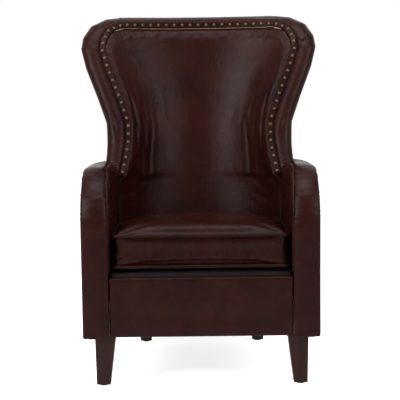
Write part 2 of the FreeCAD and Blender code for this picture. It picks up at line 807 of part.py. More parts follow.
def deck():
    """Felt, foam and cover of the platform, over the springs."""
    rear = inside_back_y(DECK_TOP_Z) - 16.0
    felt_z = SPRING_Z + SPRING_WIRE_R + GAP
    felt = prism(seat_outline(1.0, rear), felt_z, felt_z + 3.0)
    foam_z = felt_z + 3.0
    foam = prism(seat_outline(2.0, rear), foam_z, DECK_TOP_Z - CLOTH)
    lip = front_lip(foam_z)
    foam = foam.fuse(lip).removeSplitter()
    cover = prism(deck_cover_outline(rear), DECK_TOP_Z - CLOTH, DECK_TOP_Z)
    half = SEAT_HALF - 2.0
    flap = box(-half, half, DECK_FRONT_Y, DECK_FRONT_Y + CLOTH, foam_z, DECK_TOP_Z)
    return felt, foam, cover.fuse(flap).removeSplitter()


def front_lip(z0):
    """Part of the platform foam that reaches over the front rail."""
    front = DECK_FRONT_Y + CLOTH + GAP
    half = SEAT_HALF - 3.5
    return box(-half, half, front, POST_FRONT_Y + RAIL_THICK + 4.0, z0, DECK_TOP_Z - CLOTH)


def deck_cover_outline(rear):
    """Plan of the platform cloth, which reaches over the front rail."""
    half = SEAT_HALF - 2.0
    front = DECK_FRONT_Y
    return [(-half, front), (half, front), (half, -40.0), (185.0, 90.0), (140.0, rear),
            (-140.0, rear), (-185.0, 90.0), (-half, -40.0)]


def seat_spring(x):
    """One zigzag spring: half turns joined by straight runs, one unbroken wire."""
    y0, y1 = spring_ends()
    pitch = (y1 - y0) / SPRING_TURNS
    radius = pitch / 2
    reach = SPRING_HALF_WIDTH - radius
    z = SPRING_Z
    edges = []
    side = 1
    y = y0
    at = V(x, y, z)
    for i in range(SPRING_TURNS):
        corner = V(x + side * reach, y, z)
        tip = V(x + side * (reach + radius), y + radius, z)
        after = V(x + side * reach, y + pitch, z)
        edges.append(line(at, corner))
        edges.append(arc(corner, tip, after))
        at = after
        y += pitch
        side = -side
    edges.append(line(at, V(x, y, z)))
    ring = closed([V(x, y0 + SPRING_WIRE_R * math.cos(math.radians(90 * i + 45)),
                     z + SPRING_WIRE_R * math.sin(math.radians(90 * i + 45))) for i in range(4)])
    return Part.Wire(edges).makePipeShell([ring], True, False)


def spring_ends():
    """Where the springs are held on the front and rear rails."""
    return POST_FRONT_Y + RAIL_THICK - 12.0, back_line(RAIL_TOP_Z) + 10.0


def spring_places():
    """Middle of each spring across the seat."""
    first = -(SPRING_COUNT - 1) / 2 * SPRING_SPACING
    return [first + i * SPRING_SPACING for i in range(SPRING_COUNT)]


def spring_clips():
    """Clips that hold the spring ends to the front and rear rails."""
    return Part.makeCompound([spring_clip(x, y) for x in spring_places() for y in spring_ends()])


def spring_clip(x, y):
    """One clip: a saddle block with an open slot for the end wire."""
    half = SPRING_WIRE_R + GAP
    top = SPRING_Z + half
    saddle = closed([V(x - 6.0, y - 6.0, RAIL_TOP_Z), V(x - 6.0, y + 6.0, RAIL_TOP_Z),
                     V(x - 6.0, y + 6.0, top), V(x - 6.0, y + half, top),
                     V(x - 6.0, y + half, SPRING_Z - half), V(x - 6.0, y - half, SPRING_Z - half),
                     V(x - 6.0, y - half, top), V(x - 6.0, y - 6.0, top)])
    return Part.Face(saddle).extrude(V(12.0, 0, 0))


def back_webbing():
    """Straps across the fronts of the back posts."""
    straps = []
    half = BACK_POST_X1 - 2.0
    for i in range(WEB_COUNT):
        z0 = WEB_LOW_Z + i * WEB_SPACING
        z1 = z0 + WEB_WIDTH
        y0 = back_line(z0) - WEB_THICK - 0.1
        y1 = back_line(z1) - WEB_THICK - 0.1
        face = Part.Face(closed([V(-half, y0, z0), V(-half, y1, z1),
                                 V(-half, y1 + WEB_THICK, z1), V(-half, y0 + WEB_THICK, z0)]))
        straps.append(face.extrude(V(2 * half, 0, 0)))
    return Part.makeCompound(straps)


def dust_cover():
    """Black cloth stapled under the seat, cut away round the legs."""
    outline = [(-338.0, FRONT_Y + 14.0), (338.0, FRONT_Y + 14.0), (338.0, -100.0), (320.0, 60.0),
               (250.0, 205.0), (-250.0, 205.0), (-320.0, 60.0), (-338.0, -100.0)]
    sheet = prism(outline, BODY_BOTTOM_Z - 0.5, BODY_BOTTOM_Z + CLOTH)
    for leg in (FRONT_LEG, REAR_LEG):
        half = leg.top_size / 2 + 1.0
        x, y = leg.top
        for sign in (-1, 1):
            cut = box(sign * x - half, sign * x + half, y - half, y + half,
                      BODY_BOTTOM_Z - 5, BODY_BOTTOM_Z + 5)
            sheet = sheet.cut(cut)
    return sheet


# Legs

class Leg:
    """A tapered square leg: top and foot centres, sizes and its bolt."""

    def __init__(self, top, foot, top_size, foot_size, bolt):
        self.top = top
        self.foot = foot
        self.top_size = top_size
        self.foot_size = foot_size
        self.bolt = bolt

    def wood(self):
        """The leg itself, bored for its bolt and glide."""
        def square(centre, size, z):
            h = size / 2
            c = h - LEG_EDGE
            x, y = centre
            corners = [(c, -h), (h, -c), (h, c), (c, h), (-c, h), (-h, c), (-h, -c), (-c, -h)]
            return closed([V(x + a, y + b, z) for a, b in corners])
        body = loft([square(self.foot, self.foot_size, FLOOR_Z + GLIDE_H),
                     square(self.top, self.top_size, LEG_TOP_Z)], ruled=True)
        base = V(self.bolt[0], self.bolt[1], LEG_TOP_Z - BOLT_IN_LEG)
        return body.cut(rod(BOLT_HOLE_R, BOLT_IN_LEG + 1.0, base))

    def glide(self):
        """Round glide under the foot."""
        disc = rod(GLIDE_R, GLIDE_H, V(self.foot[0], self.foot[1], FLOOR_Z))
        return disc.makeChamfer(1.2, [e for e in disc.Edges if e.BoundBox.ZMax < FLOOR_Z + 0.1])

    def fastener(self, top):
        """Bolt from inside the leg up to a height."""
        z0 = LEG_TOP_Z - BOLT_IN_LEG + 1.0
        return rod(BOLT_R, top - z0, V(self.bolt[0], self.bolt[1], z0))

    def bolt_hole(self, height):
        """Bore for the bolt above the leg."""
        return rod(BOLT_HOLE_R, height, V(self.bolt[0], self.bolt[1], LEG_TOP_Z))


def hexagon(x, y, radius, z, height):
    """Hexagonal block."""
    points = [(x + radius * math.cos(math.radians(60 * i)),
               y + radius * math.sin(math.radians(60 * i))) for i in range(6)]
    return prism(points, z, z + height)


LEG_SIDE_X = ARM_HALF_WIDTH - 35.0      # outside of the front legs
LEG_FRONT_Y = FRONT_Y + 7.5
POST_MIDDLE_X = (BACK_POST_X0 + BACK_POST_X1) / 2
POST_REAR_BASE_Y = back_line(LEG_TOP_Z) + BACK_POST_DEEP
FRONT_LEG = Leg((LEG_SIDE_X - FRONT_LEG_TOP / 2, LEG_FRONT_Y + FRONT_LEG_TOP / 2),
                (LEG_SIDE_X - 3.0 - FRONT_LEG_FOOT / 2, LEG_FRONT_Y + FRONT_LEG_FOOT / 2),
                FRONT_LEG_TOP, FRONT_LEG_FOOT,
                (POST_INNER_X - 24.0, POST_FRONT_Y + RAIL_THICK + 11.0))
REAR_LEG = Leg((POST_MIDDLE_X, POST_REAR_BASE_Y), (POST_MIDDLE_X - 2.0, POST_REAR_BASE_Y + 66.0),
               REAR_LEG_TOP, REAR_LEG_FOOT, (POST_MIDDLE_X, POST_REAR_BASE_Y - 8.0))


def corner_blocks():
    """Blocks in the four corners of the seat frame; the front pair take the leg bolts."""
    inner_y = POST_FRONT_Y + RAIL_THICK + GAP
    side_x = POST_INNER_X - GAP
    front = prism([(side_x, inner_y), (side_x, inner_y + 70.0), (side_x - 30.0, inner_y + 70.0),
                   (side_x - 70.0, inner_y + 26.0), (side_x - 70.0, inner_y)], RAIL_BOTTOM_Z,
                  BLOCK_TOP_Z)
    front = front.cut(FRONT_LEG.bolt_hole(100.0))
    rear_y = back_line(RAIL_BOTTOM_Z) - GAP
    x = BACK_POST_X1
    rear = prism([(x - 66.0, rear_y), (x, rear_y), (x, rear_y - 24.0), (x - 20.0, rear_y - 44.0),
                  (x - 66.0, rear_y - 14.0)], RAIL_BOTTOM_Z, BLOCK_TOP_Z)
    return Part.makeCompound([front, mirrored(front), rear, mirrored(rear)])


def leg_bolts():
    """Bolts: the front ones end in nuts on the blocks, the rear ones screw into the posts."""
    front = FRONT_LEG.fastener(BLOCK_TOP_Z + NUT_H + 4.0)
    rear = REAR_LEG.fastener(RAIL_BOTTOM_Z + BOLT_IN_POST - 1.0)
    return Part.makeCompound([front, mirrored(front), rear, mirrored(rear)])


def leg_nuts():
    """Nuts of the front leg bolts."""
    x, y = FRONT_LEG.bolt
    nut = hexagon(x, y, NUT_R, BLOCK_TOP_Z + 0.05, NUT_H)
    nut = nut.cut(rod(BOLT_R + 0.05, 20.0, V(x, y, BLOCK_TOP_Z - 2.0)))
    return Part.makeCompound([nut, mirrored(nut)])


# Nails

def nail_line():
    """Stations of the nail line on the right half, from the crest's middle down the wing."""
    return CREST[CREST_MIDDLE::-1] + WING[-2::-1]


def nail_places():
    """Seat, run and across direction of evenly spaced nails along the strips."""
    stations = nail_line()
    spans = list(zip(stations, stations[1:]))
    total = sum((b.nail - a.nail).Length for a, b in spans)
    count = int(round(total / NAIL_PITCH))
    pitch = total / (count + 0.3)
    places = []
    start = 0.0
    for a, b in spans:
        length = (b.nail - a.nail).Length
        run = (b.nail - a.nail).normalize()
        while len(places) * pitch < start + length:
            share = (len(places) * pitch - start) / length
            across = (a.across * (1 - share) + b.across * share).normalize()
            places.append((a.nail + (b.nail - a.nail) * share, run, across))
        start += length
    middle, _, across = places[0]
    places[0] = (middle - Y_AXIS * NAIL_BRIDGE, X_AXIS, across)
    return places


def nail_head(point, run, across):
    """Domed nail head seated on the strip."""
    out = run.cross(across).normalize()
    if out.y > 0:
        out = out * -1.0
    seat = point + V(0, STRIP_BACK, 0) + out * NAIL_SEAT
    sections = []
    for size, rise in ((1.0, 0.0), (0.9, 0.5), (0.45, 1.0)):
        ring = []
        for i in range(6):
            turn = math.radians(60 * i)
            ring.append(seat + run * (NAIL_HEAD_R * size * math.cos(turn))
                        + across * (NAIL_HEAD_R * size * math.sin(turn)) + out * (NAIL_HEAD_H * rise))
        sections.append(closed(ring))
    return loft(sections, ruled=True)


def nail_heads():
    """All nail heads, mirrored about the middle one."""
    heads = []
    for place in nail_places():
        head = nail_head(*place)
        heads.append(head)
        if place[0].x > 1.0:
            heads.append(mirrored(head))
    return Part.makeCompound(heads)


def nail_strips():
    """Leather strips under the nails: crest and both wings."""
    crest = loft([s.strip() for s in CREST], ruled=True)
    wing = loft([s.strip() for s in WING], ruled=True)
    return crest, wing


# Seat cushion

def cushion_wire(inset, z):
    """Closed plan outline of the cushion: straight front and sides, rounded rear."""
    half = CUSHION_HALF - inset
    front = CUSHION_FRONT_Y + inset
    r = max(CUSHION_CORNER_R - inset, 6.0)
    k = r * (1 - math.sqrt(0.5))
    rear_r = CUSHION_REAR_R - inset
    corner_r = CUSHION_REAR_CORNER_R - inset
    centre, corner, angle = rear_arcs()
    half_turn = math.radians(90) - angle

    def rear_at(radius, middle, turn):
        return V(middle[0] + radius * math.sin(turn), middle[1] + radius * math.cos(turn), z)

    side = rear_at(corner_r, corner, math.pi / 2)
    bend = rear_at(corner_r, corner, angle + half_turn / 2)
    meet = rear_at(rear_r, (0, centre), angle)
    back = rear_at(rear_r, (0, centre), 0)

    def left(p):
        return V(-p.x, p.y, z)

    p = [V(-half + r, front, z), V(half - r, front, z), V(half - k, front + k, z),
         V(half, front + r, z)]
    return Part.Wire([line(p[0], p[1]), arc(p[1], p[2], p[3]), line(p[3], side),
                      arc(side, bend, meet), arc(meet, back, left(meet)),
                      arc(left(meet), left(bend), left(side)), line(left(side), left(p[3])),
                      arc(left(p[3]), left(p[2]), p[0])])


def rear_arcs():
    """Centre of the rear arc, centre of its corner arc and the angle where they meet."""
    centre = CUSHION_REAR_Y - CUSHION_REAR_R
    dx = CUSHION_HALF - CUSHION_REAR_CORNER_R
    reach = CUSHION_REAR_R - CUSHION_REAR_CORNER_R
    dy = math.sqrt(reach ** 2 - dx ** 2)
    return centre, (dx, centre + dy), math.atan2(dx, dy)


CROWN_STEPS = 3
BOXING_STEPS = 4
CROWN_REACH = 110.0       # how far in from the edge the crown goes on rising


def dome(base_z, height, inset):
    """Crowned body over the outline; a negative height bulges down."""
    sections = []
    for i in range(CROWN_STEPS + 1):
        turn = math.pi / 2 * i / CROWN_STEPS
        share = 1 - math.cos(turn)
        sections.append(cushion_wire(inset + CROWN_REACH * share, base_z + height * math.sin(turn)))
    return loft(sections, ruled=True)


def boxing_wall(depth, z0, z1):
    """Body inside the boxing's face at a depth, drawn in at half height."""
    sections = []
    for i in range(BOXING_STEPS + 1):
        z = z0 + (z1 - z0) * i / BOXING_STEPS
        draw = BOXING_DRAW * math.sin(math.pi * i / BOXING_STEPS)
        sections.append(cushion_wire(EDGE_INSET + draw + depth, z))
    return loft(sections, ruled=True)


def cushion_core():
    """Crowned foam block that fills the cushion cover."""
    depth = LEATHER + GAP
    middle = boxing_wall(depth, WELT_LOW_Z, WELT_HIGH_Z)
    top = dome(WELT_HIGH_Z, CROWN_TOP - depth, EDGE_INSET + depth)
    bottom = dome(WELT_LOW_Z, -(CROWN_BOTTOM - depth), EDGE_INSET + depth)
    return middle.multiFuse([top, bottom])


def cushion_panel(z, crown):
    """Top or bottom panel of the cushion cover, a crowned skin between its welt and the core."""
    side = 1 if crown > 0 else -1
    outer = dome(z, crown, EDGE_INSET)
    inner = dome(z, crown - side * LEATHER, EDGE_INSET + LEATHER)
    return outer.cut(inner)


def cushion_boxing():
    """Side band of the cushion cover, drawn in at half height."""
    z0 = WELT_LOW_Z + GAP / 2
    z1 = WELT_HIGH_Z - GAP / 2
    return boxing_wall(0.0, z0, z1).cut(boxing_wall(LEATHER, z0, z1))


def cushion_welts():
    """Piping round the top and bottom edges of the cushion."""
    welts = []
    for z in (WELT_HIGH_Z, WELT_LOW_Z):
        path = cushion_wire(WELT_INSET, z)
        start = V(0, CUSHION_FRONT_Y + WELT_INSET, z)
        points = [V(start.x, start.y + WELT_R * math.cos(math.radians(60 * i + 30)),
                    start.z + WELT_R * math.sin(math.radians(60 * i + 30))) for i in range(6)]
        welts.append(path.makePipeShell([closed(points)], True, False))
    return Part.makeCompound(welts)


# Zip in the rear boxing

ZIP_HALF_ANGLE = math.radians(31.0)
ZIP_END_ANGLE = math.radians(27.0)
ZIP_Z = (WELT_LOW_Z + WELT_HIGH_Z) / 2
TAPE_HALF = 11.0
TAPE_STAND = 1.0          # tape off the drawn-in boxing at half height
TAPE_THICK = 1.0
TEETH_HALF = 2.6
TEETH_THICK = 1.8
SLIDER_LENGTH = 12.0
SLIDER_HALF = 5.0
SLIDER_ROOF = 1.9
LUG_HALF = 2.4
LUG_GAP_HALF = 1.2
PIN_R = 0.7
EYE_R = 1.9
EYE_HOLE_R = 1.0
PIN_RISE = 2.3            # hinge pin above the slider's roof
PULL_LENGTH = 14.0
PULL_HALF = 3.2
PULL_THICK = 1.2


def zip_circle():
    """Centre and radius of the rear boxing's face at half height."""
    centre, _, _ = rear_arcs()
    return centre, CUSHION_REAR_R - EDGE_INSET - BOXING_DRAW


def ring_band(r0, r1, half_angle, z0, z1):
    """Curved bar about the zip's centre between two radii."""
    centre, _ = zip_circle()

    def at(r, a):
        return V(r * math.sin(a), centre + r * math.cos(a), z0)

    outline = Part.Wire([arc(at(r0, -half_angle), at(r0, 0), at(r0, half_angle)),
                         line(at(r0, half_angle), at(r1, half_angle)),
                         arc(at(r1, half_angle), at(r1, 0), at(r1, -half_angle)),
                         line(at(r1, -half_angle), at(r0, -half_angle))])
    return Part.Face(outline).extrude(V(0, 0, z1 - z0))


def zip_radii():
    """Radii of the tape, the teeth, the slider's roof and the pull's pin."""
    _, face = zip_circle()
    tape = face + TAPE_STAND
    teeth = tape + TAPE_THICK + 0.05
    roof = teeth + TEETH_THICK + GAP + SLIDER_ROOF
    return tape, teeth, roof, roof + PIN_RISE


def zip_fixed():
    """Tape and closed chain of the zip."""
    tape_r, teeth_r, _, _ = zip_radii()
    tape = ring_band(tape_r, tape_r + TAPE_THICK, ZIP_HALF_ANGLE, ZIP_Z - TAPE_HALF,
                     ZIP_Z + TAPE_HALF)
    teeth = ring_band(teeth_r, teeth_r + TEETH_THICK, ZIP_HALF_ANGLE - 0.01, ZIP_Z - TEETH_HALF,
                      ZIP_Z + TEETH_HALF)
    return tape, teeth


def at_zip_end(shape):
    """Move a zip piece built straight behind the cushion to the closed end of the zip."""
    centre, _ = zip_circle()
    moved = shape.copy()
    moved.rotate(V(0, centre, 0), Z_AXIS, -math.degrees(ZIP_END_ANGLE))
    return moved


def zip_slider():
    """Slider: a roof over the teeth with side flanges, two lugs and the pull's pin."""
    tape_r, teeth_r, roof_r, pin_r = zip_radii()
    centre, _ = zip_circle()
    low = centre + tape_r + TAPE_THICK + GAP
    roof = centre + roof_r
    half = SLIDER_LENGTH / 2
    body = box(-half, half, low + 0.05, roof, ZIP_Z - SLIDER_HALF, ZIP_Z + SLIDER_HALF)
    channel = ring_band(teeth_r - 1.0, teeth_r + TEETH_THICK + GAP, 0.1,
                        ZIP_Z - TEETH_HALF - GAP, ZIP_Z + TEETH_HALF + GAP)
    body = body.cut(channel)
    pin_y = centre + pin_r
    parts = []
    for sign in (-1, 1):
        z0 = min(sign * LUG_GAP_HALF, sign * LUG_HALF) + ZIP_Z
        thick = LUG_HALF - LUG_GAP_HALF
        parts.append(box(-1.4, 1.4, roof - 0.2, pin_y, z0, z0 + thick))
        parts.append(rod(1.4, thick, V(0, pin_y, z0)))
    parts.append(rod(PIN_R, 2 * LUG_HALF, V(0, pin_y, ZIP_Z - LUG_HALF)))
    return at_zip_end(body.multiFuse(parts).removeSplitter())


def zip_pull():
    """Pull tab that turns about the slider's pin."""
    centre, _ = zip_circle()
    pin_y = centre + zip_radii()[3]
    eye_half = LUG_GAP_HALF - GAP
    eye = rod(EYE_R, 2 * eye_half, V(0, pin_y, ZIP_Z - eye_half))
    neck = box(-4.0, -1.2, pin_y - PULL_THICK / 2, pin_y + PULL_THICK / 2,
               ZIP_Z - eye_half, ZIP_Z + eye_half)
    tab = box(-PULL_LENGTH, -3.0, pin_y - PULL_THICK / 2, pin_y + PULL_THICK / 2,
              ZIP_Z - PULL_HALF, ZIP_Z + PULL_HALF)
    tab = tab.makeFillet(1.5, [e for e in tab.Edges if is_tab_corner(e)])
    hole = rod(EYE_HOLE_R, 10.0, V(0, pin_y, ZIP_Z - 5.0))
    return at_zip_end(eye.multiFuse([neck, tab]).cut(hole).removeSplitter())


def is_tab_corner(edge):
    """Whether an edge runs through the thickness at the pull's free end."""
    reach = edge.BoundBox
    return reach.XMax < -PULL_LENGTH + 0.01 and reach.ZMax - reach.ZMin < 0.01


def build_all():
    """Every named node of the chair, with its shape."""
    nodes = {}

    def pair(name, shape):
        nodes["right_" + name] = shape
        nodes["left_" + name] = mirrored(shape)

    def both(name, shape):
        nodes[name] = Part.makeCompound([shape, mirrored(shape)])

    nodes["front_seat_rail"] = front_rail()
    nodes["rear_seat_rail"] = rear_rail()
    pair("seat_rail", side_rail())
    nodes["corner_blocks"] = corner_blocks()
    pair("arm_post", arm_post())
    pair("arm_rail", arm_rail())
    pair("back_post", back_post())
    nodes["tuck_rail"] = tuck_rail()
    nodes["crest_rail"] = crest_rail()
    pair("wing_post", wing_post())
    both("wing_rails", wing_rail())
    both("wing_pads", loft([s.pad() for s in WING], ruled=True))
    pair("wing_band", loft([s.skin() for s in WING], ruled=True))
    nodes["crest_pad"] = loft([s.pad() for s in CREST], ruled=True)
    nodes["crest_band"] = loft([s.skin() for s in CREST], ruled=True)
    nodes["inside_back_cover"] = inside_back_cover()
    nodes["back_foam"] = back_foam()
    pair("arm_band", arm_band())
    both("arm_band_pads", arm_band_pad())
    pair("inside_arm_cover", inside_arm_cover())
    both("inside_arm_pads", inside_arm_pad())
    pair("outside_arm_cover", outside_arm_cover())
    nodes["outside_back_cover"] = outside_back_cover()
    pair("outside_wing_cover", outside_wing_cover())
    skin, pad = apron()
    nodes["apron_cover"] = skin
    nodes["apron_pad"] = pad
    felt, foam, cover = deck()
    nodes["seat_felt"] = felt
    nodes["seat_foam"] = foam
    nodes["seat_cloth"] = cover
    nodes["seat_springs"] = Part.makeCompound([seat_spring(x) for x in spring_places()])
    nodes["spring_clips"] = spring_clips()
    nodes["back_webbing"] = back_webbing()
    nodes["dust_cover"] = dust_cover()
    for name, leg in (("front", FRONT_LEG), ("rear", REAR_LEG)):
        wood = leg.wood()
        nodes[name + "_right_leg"] = wood
        nodes[name + "_left_leg"] = mirrored(wood)
    glides = [s for leg in (FRONT_LEG, REAR_LEG) for s in (leg.glide(), mirrored(leg.glide()))]
    nodes["leg_glides"] = Part.makeCompound(glides)
    nodes["leg_fasteners"] = Part.makeCompound([leg_bolts(), leg_nuts()])
    crest, wing = nail_strips()
    nodes["nail_strips"] = Part.makeCompound([crest, wing, mirrored(wing)])
    nodes["nail_heads"] = nail_heads()
    nodes["cushion_core"] = cushion_core()
    nodes["cushion_top"] = cushion_panel(WELT_HIGH_Z, CROWN_TOP)
    nodes["cushion_bottom"] = cushion_panel(WELT_LOW_Z, -CROWN_BOTTOM)
    nodes["cushion_boxing"] = cushion_boxing()
    nodes["cushion_welts"] = cushion_welts()
    tape, teeth = zip_fixed()
    nodes["zip_chain"] = Part.makeCompound([tape, teeth])
    nodes["zip_slider"] = zip_slider()
    nodes["zip_pull"] = zip_pull()
    return nodes


def main():
    """Write one file for each node."""
    os.makedirs("parts", exist_ok=True)
    for name, shape in build_all().items():
        moved = shape.copy()
        moved.translate(V(0, ORIGIN_SHIFT_Y, -FLOOR_Z))
        if not moved.isValid():
            print("not valid:", name)
        if not moved.Solids:
            print("no solid:", name)
        moved.exportStep("parts/" + name + ".step")


main()
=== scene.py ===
"""A dark leather wingback armchair in a plain pale studio.

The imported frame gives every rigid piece. Each leather cover is made here as a soft body: the
cover and its stuffing are remeshed together, relaxed, puffed by a cloth simulation where the
real one is loose, and then creased, gathered and puckered along the seams and nails.
"""
from __future__ import annotations

import json
import logging
import math
import random
from dataclasses import dataclass, field
from enum import Enum

import bmesh
import bpy
import numpy as np
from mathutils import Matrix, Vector
from mathutils.kdtree import KDTree

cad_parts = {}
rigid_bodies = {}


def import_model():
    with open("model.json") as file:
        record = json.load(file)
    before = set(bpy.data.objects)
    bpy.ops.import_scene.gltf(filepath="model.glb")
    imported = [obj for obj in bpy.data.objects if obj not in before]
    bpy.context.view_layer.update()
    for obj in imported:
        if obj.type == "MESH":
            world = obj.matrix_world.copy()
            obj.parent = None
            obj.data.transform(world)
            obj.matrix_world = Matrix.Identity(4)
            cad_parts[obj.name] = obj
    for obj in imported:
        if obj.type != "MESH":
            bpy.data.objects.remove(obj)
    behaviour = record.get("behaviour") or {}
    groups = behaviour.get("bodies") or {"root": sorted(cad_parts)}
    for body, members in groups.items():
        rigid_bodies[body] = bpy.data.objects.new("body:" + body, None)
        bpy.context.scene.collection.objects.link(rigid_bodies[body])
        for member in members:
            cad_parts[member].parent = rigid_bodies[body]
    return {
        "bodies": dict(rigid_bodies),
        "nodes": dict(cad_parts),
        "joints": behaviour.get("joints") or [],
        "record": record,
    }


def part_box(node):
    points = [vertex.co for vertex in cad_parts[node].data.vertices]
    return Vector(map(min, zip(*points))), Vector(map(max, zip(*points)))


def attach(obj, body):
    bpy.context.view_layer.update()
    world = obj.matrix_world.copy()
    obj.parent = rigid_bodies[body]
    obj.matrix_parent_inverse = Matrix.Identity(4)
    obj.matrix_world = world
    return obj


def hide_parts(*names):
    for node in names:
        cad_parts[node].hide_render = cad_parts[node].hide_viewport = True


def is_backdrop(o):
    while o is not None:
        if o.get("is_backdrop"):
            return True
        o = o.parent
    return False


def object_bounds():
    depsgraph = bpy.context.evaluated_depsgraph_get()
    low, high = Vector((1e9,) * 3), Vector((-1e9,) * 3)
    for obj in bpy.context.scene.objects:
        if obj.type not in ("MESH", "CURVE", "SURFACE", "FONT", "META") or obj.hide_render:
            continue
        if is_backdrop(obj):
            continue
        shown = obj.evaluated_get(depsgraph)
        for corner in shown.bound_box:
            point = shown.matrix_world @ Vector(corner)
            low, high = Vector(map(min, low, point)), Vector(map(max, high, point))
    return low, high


LOG = logging.getLogger("wingback")
Tone = tuple[float, float, float]
Point = tuple[float, float, float]
# Vertices nearer than this are one
SAME_PLACE = 1e-5
# A cloth's fineness over this is the scale of its wave textures
FINENESS_TO_WAVE = 6.3
# A normal with more than this along +Y faces the back
FACES_BACK = 0.1

# Studio: light of the room, camera for a lens on a 36 mm sensor, floor
ROOM_LIGHT = 0.22
CAMERA_LENS = 102.78
CAMERA_SENSOR = 36.0
CAMERA_PLACE = (0.0035, -3.712, 0.8625)
CAMERA_TURN = (84.75, 0.7, 0.0)
FLOOR_HALF = 30.0
FLOOR_GLOW = 0.8


class Slot(str, Enum):
    """Material slots of the record."""

    HIDE = "hide"
    WELT = "hide_welt"
    LEG = "leg_wood"
    FRAME = "frame_wood"
    FOAM = "foam"
    WADDING = "wadding"
    FELT = "felt"
    PLATFORM = "platform_cloth"
    WEBBING = "webbing"
    DUST = "dust_cloth"
    SPRING = "spring_steel"
    FASTENER = "fastener_steel"
    NAIL = "nail_brass"
    ZIP = "zip_metal"
    GLIDE = "glide"


class Body(str, Enum):
    """Bodies of the record that the new pieces ride on."""

    CHAIR = "chair"
    CUSHION = "cushion"


class Hand(Enum):
    """The two sides of the chair, with the sign of x there."""

    RIGHT = 1
    LEFT = -1


class Wire:
    """An output socket with operators, so that shader maths reads as maths."""

    def __init__(self, tree: "Tree", socket: bpy.types.NodeSocket) -> None:
        """Wrap a socket of a tree."""
        self.tree = tree
        self.socket = socket

    def _maths(self, operation: str, other: "Wire | float") -> "Wire":
        """Node that works one operation on this value and another."""
        kind = "ShaderNodeVectorMath" if self.socket.type == "VECTOR" else "ShaderNodeMath"
        return self.tree.add(kind, {0: self, 1: other}, operation=operation)

    def __add__(self, other: "Wire | float") -> "Wire":
        """This value and another, added."""
        return self._maths("ADD", other)

    def __mul__(self, other: "Wire | float") -> "Wire":
        """This value and another, multiplied."""
        return self._maths("MULTIPLY", other)

    __radd__ = __add__
    __rmul__ = __mul__

    def mix(self, low: Tone, high: Tone) -> "Wire":
        """Colour between two tones, with this value as the share of the second.

        Args:
            low: colour at 0.
            high: colour at 1.

        Returns:
            The mixed colour.
        """
        return self.tree.add("ShaderNodeMix", {0: self, 6: (*low, 1.0), 7: (*high, 1.0)}, output=2,
                             data_type="RGBA", clamp_factor=True)

    def spread(self, low: float, high: float, to_low: float = 0.0, to_high: float = 1.0) -> "Wire":
        """This value moved from one range to another and held there.

        Args:
            low: value that becomes to_low.
            high: value that becomes to_high.
            to_low: start of the new range.
            to_high: end of the new range.

        Returns:
            The value in the new range.
        """
        return self.tree.add("ShaderNodeMapRange", {0: self, 1: low, 2: high, 3: to_low, 4: to_high})


class Tree:
    """Node tree of one material."""

    def __init__(self, name: str) -> None:
        """Start a material with the surface shader and the object's own space."""
        self.material = bpy.data.materials.new(name)
        self.material.use_nodes = True
        self.nodes = self.material.node_tree.nodes
        self.links = self.material.node_tree.links
        self.shader = self.nodes["Principled BSDF"]
        self.place = self.add("ShaderNodeTexCoord", {}, output="Object")

    def add(self, kind: str, inputs: dict, output: int | str = 0, **settings: object) -> Wire:
        """Add any node.

        Args:
            kind: type name of the node.
            inputs: value or wire for each input, by index or name.
            output: output that is returned.
            settings: properties of the node.

        Returns:
            The output as a wire.
        """
        node = self.nodes.new(kind)
        for key, value in settings.items():
            setattr(node, key, value)
        for key, value in inputs.items():
            self.feed(node.inputs[key], value)
        return Wire(self, node.outputs[output])

    def feed(self, socket: bpy.types.NodeSocket, value: "Wire | float | tuple") -> None:
        """Link a wire to a socket, or set its value."""
        if isinstance(value, Wire):
            self.links.new(value.socket, socket)
        elif socket.type == "VECTOR" and isinstance(value, float):
            socket.default_value = (value,) * 3
        else:
            socket.default_value = value

    def noise(self, scale: float, detail: float = 3.0, rough: float = 0.5,
              stretch: Point = (1.0, 1.0, 1.0), twist: float = 0.0) -> Wire:
        """Noise over the object's own space, stretched where asked."""
        place = self.add("ShaderNodeVectorMath", {0: self.place, 1: stretch}, operation="MULTIPLY")
        return self.add("ShaderNodeTexNoise", {"Vector": place, "Scale": scale, "Detail": detail,
                                               "Roughness": rough, "Distortion": twist})

    def cells(self, scale: float, feature: str = "F1") -> Wire:
        """Distance into the cells of a Voronoi texture."""
        return self.add("ShaderNodeTexVoronoi", {"Vector": self.place, "Scale": scale},
                        feature=feature)

    def bump(self, height: Wire, strength: float, distance: float) -> None:
        """Raise the surface by a height, over any bump that is there already."""
        inputs = {"Height": height, "Strength": strength, "Distance": distance}
        socket = self.shader.inputs["Normal"]
        if socket.is_linked:
            inputs["Normal"] = Wire(self, socket.links[0].from_socket)
        self.feed(socket, self.add("ShaderNodeBump", inputs))

    def put(self, **values: object) -> None:
        """Set inputs of the surface shader; underscores stand for spaces."""
        for key, value in values.items():
            self.feed(self.shader.inputs[key.replace("_", " ")], value)


@dataclass(frozen=True)
class Finish:
    """What one material slot looks like."""

    dark: Tone
    light: Tone
    rough: float

    def build(self, name: str) -> bpy.types.Material:
        """Make the material.

        Args:
            name: name of the material.

        Returns:
            The finished material.
        """
        tree = Tree(name)
        self.paint(tree)
        return tree.material

    def paint(self, tree: Tree) -> None:
        """Fill the tree; each finish does this its own way."""
        raise NotImplementedError


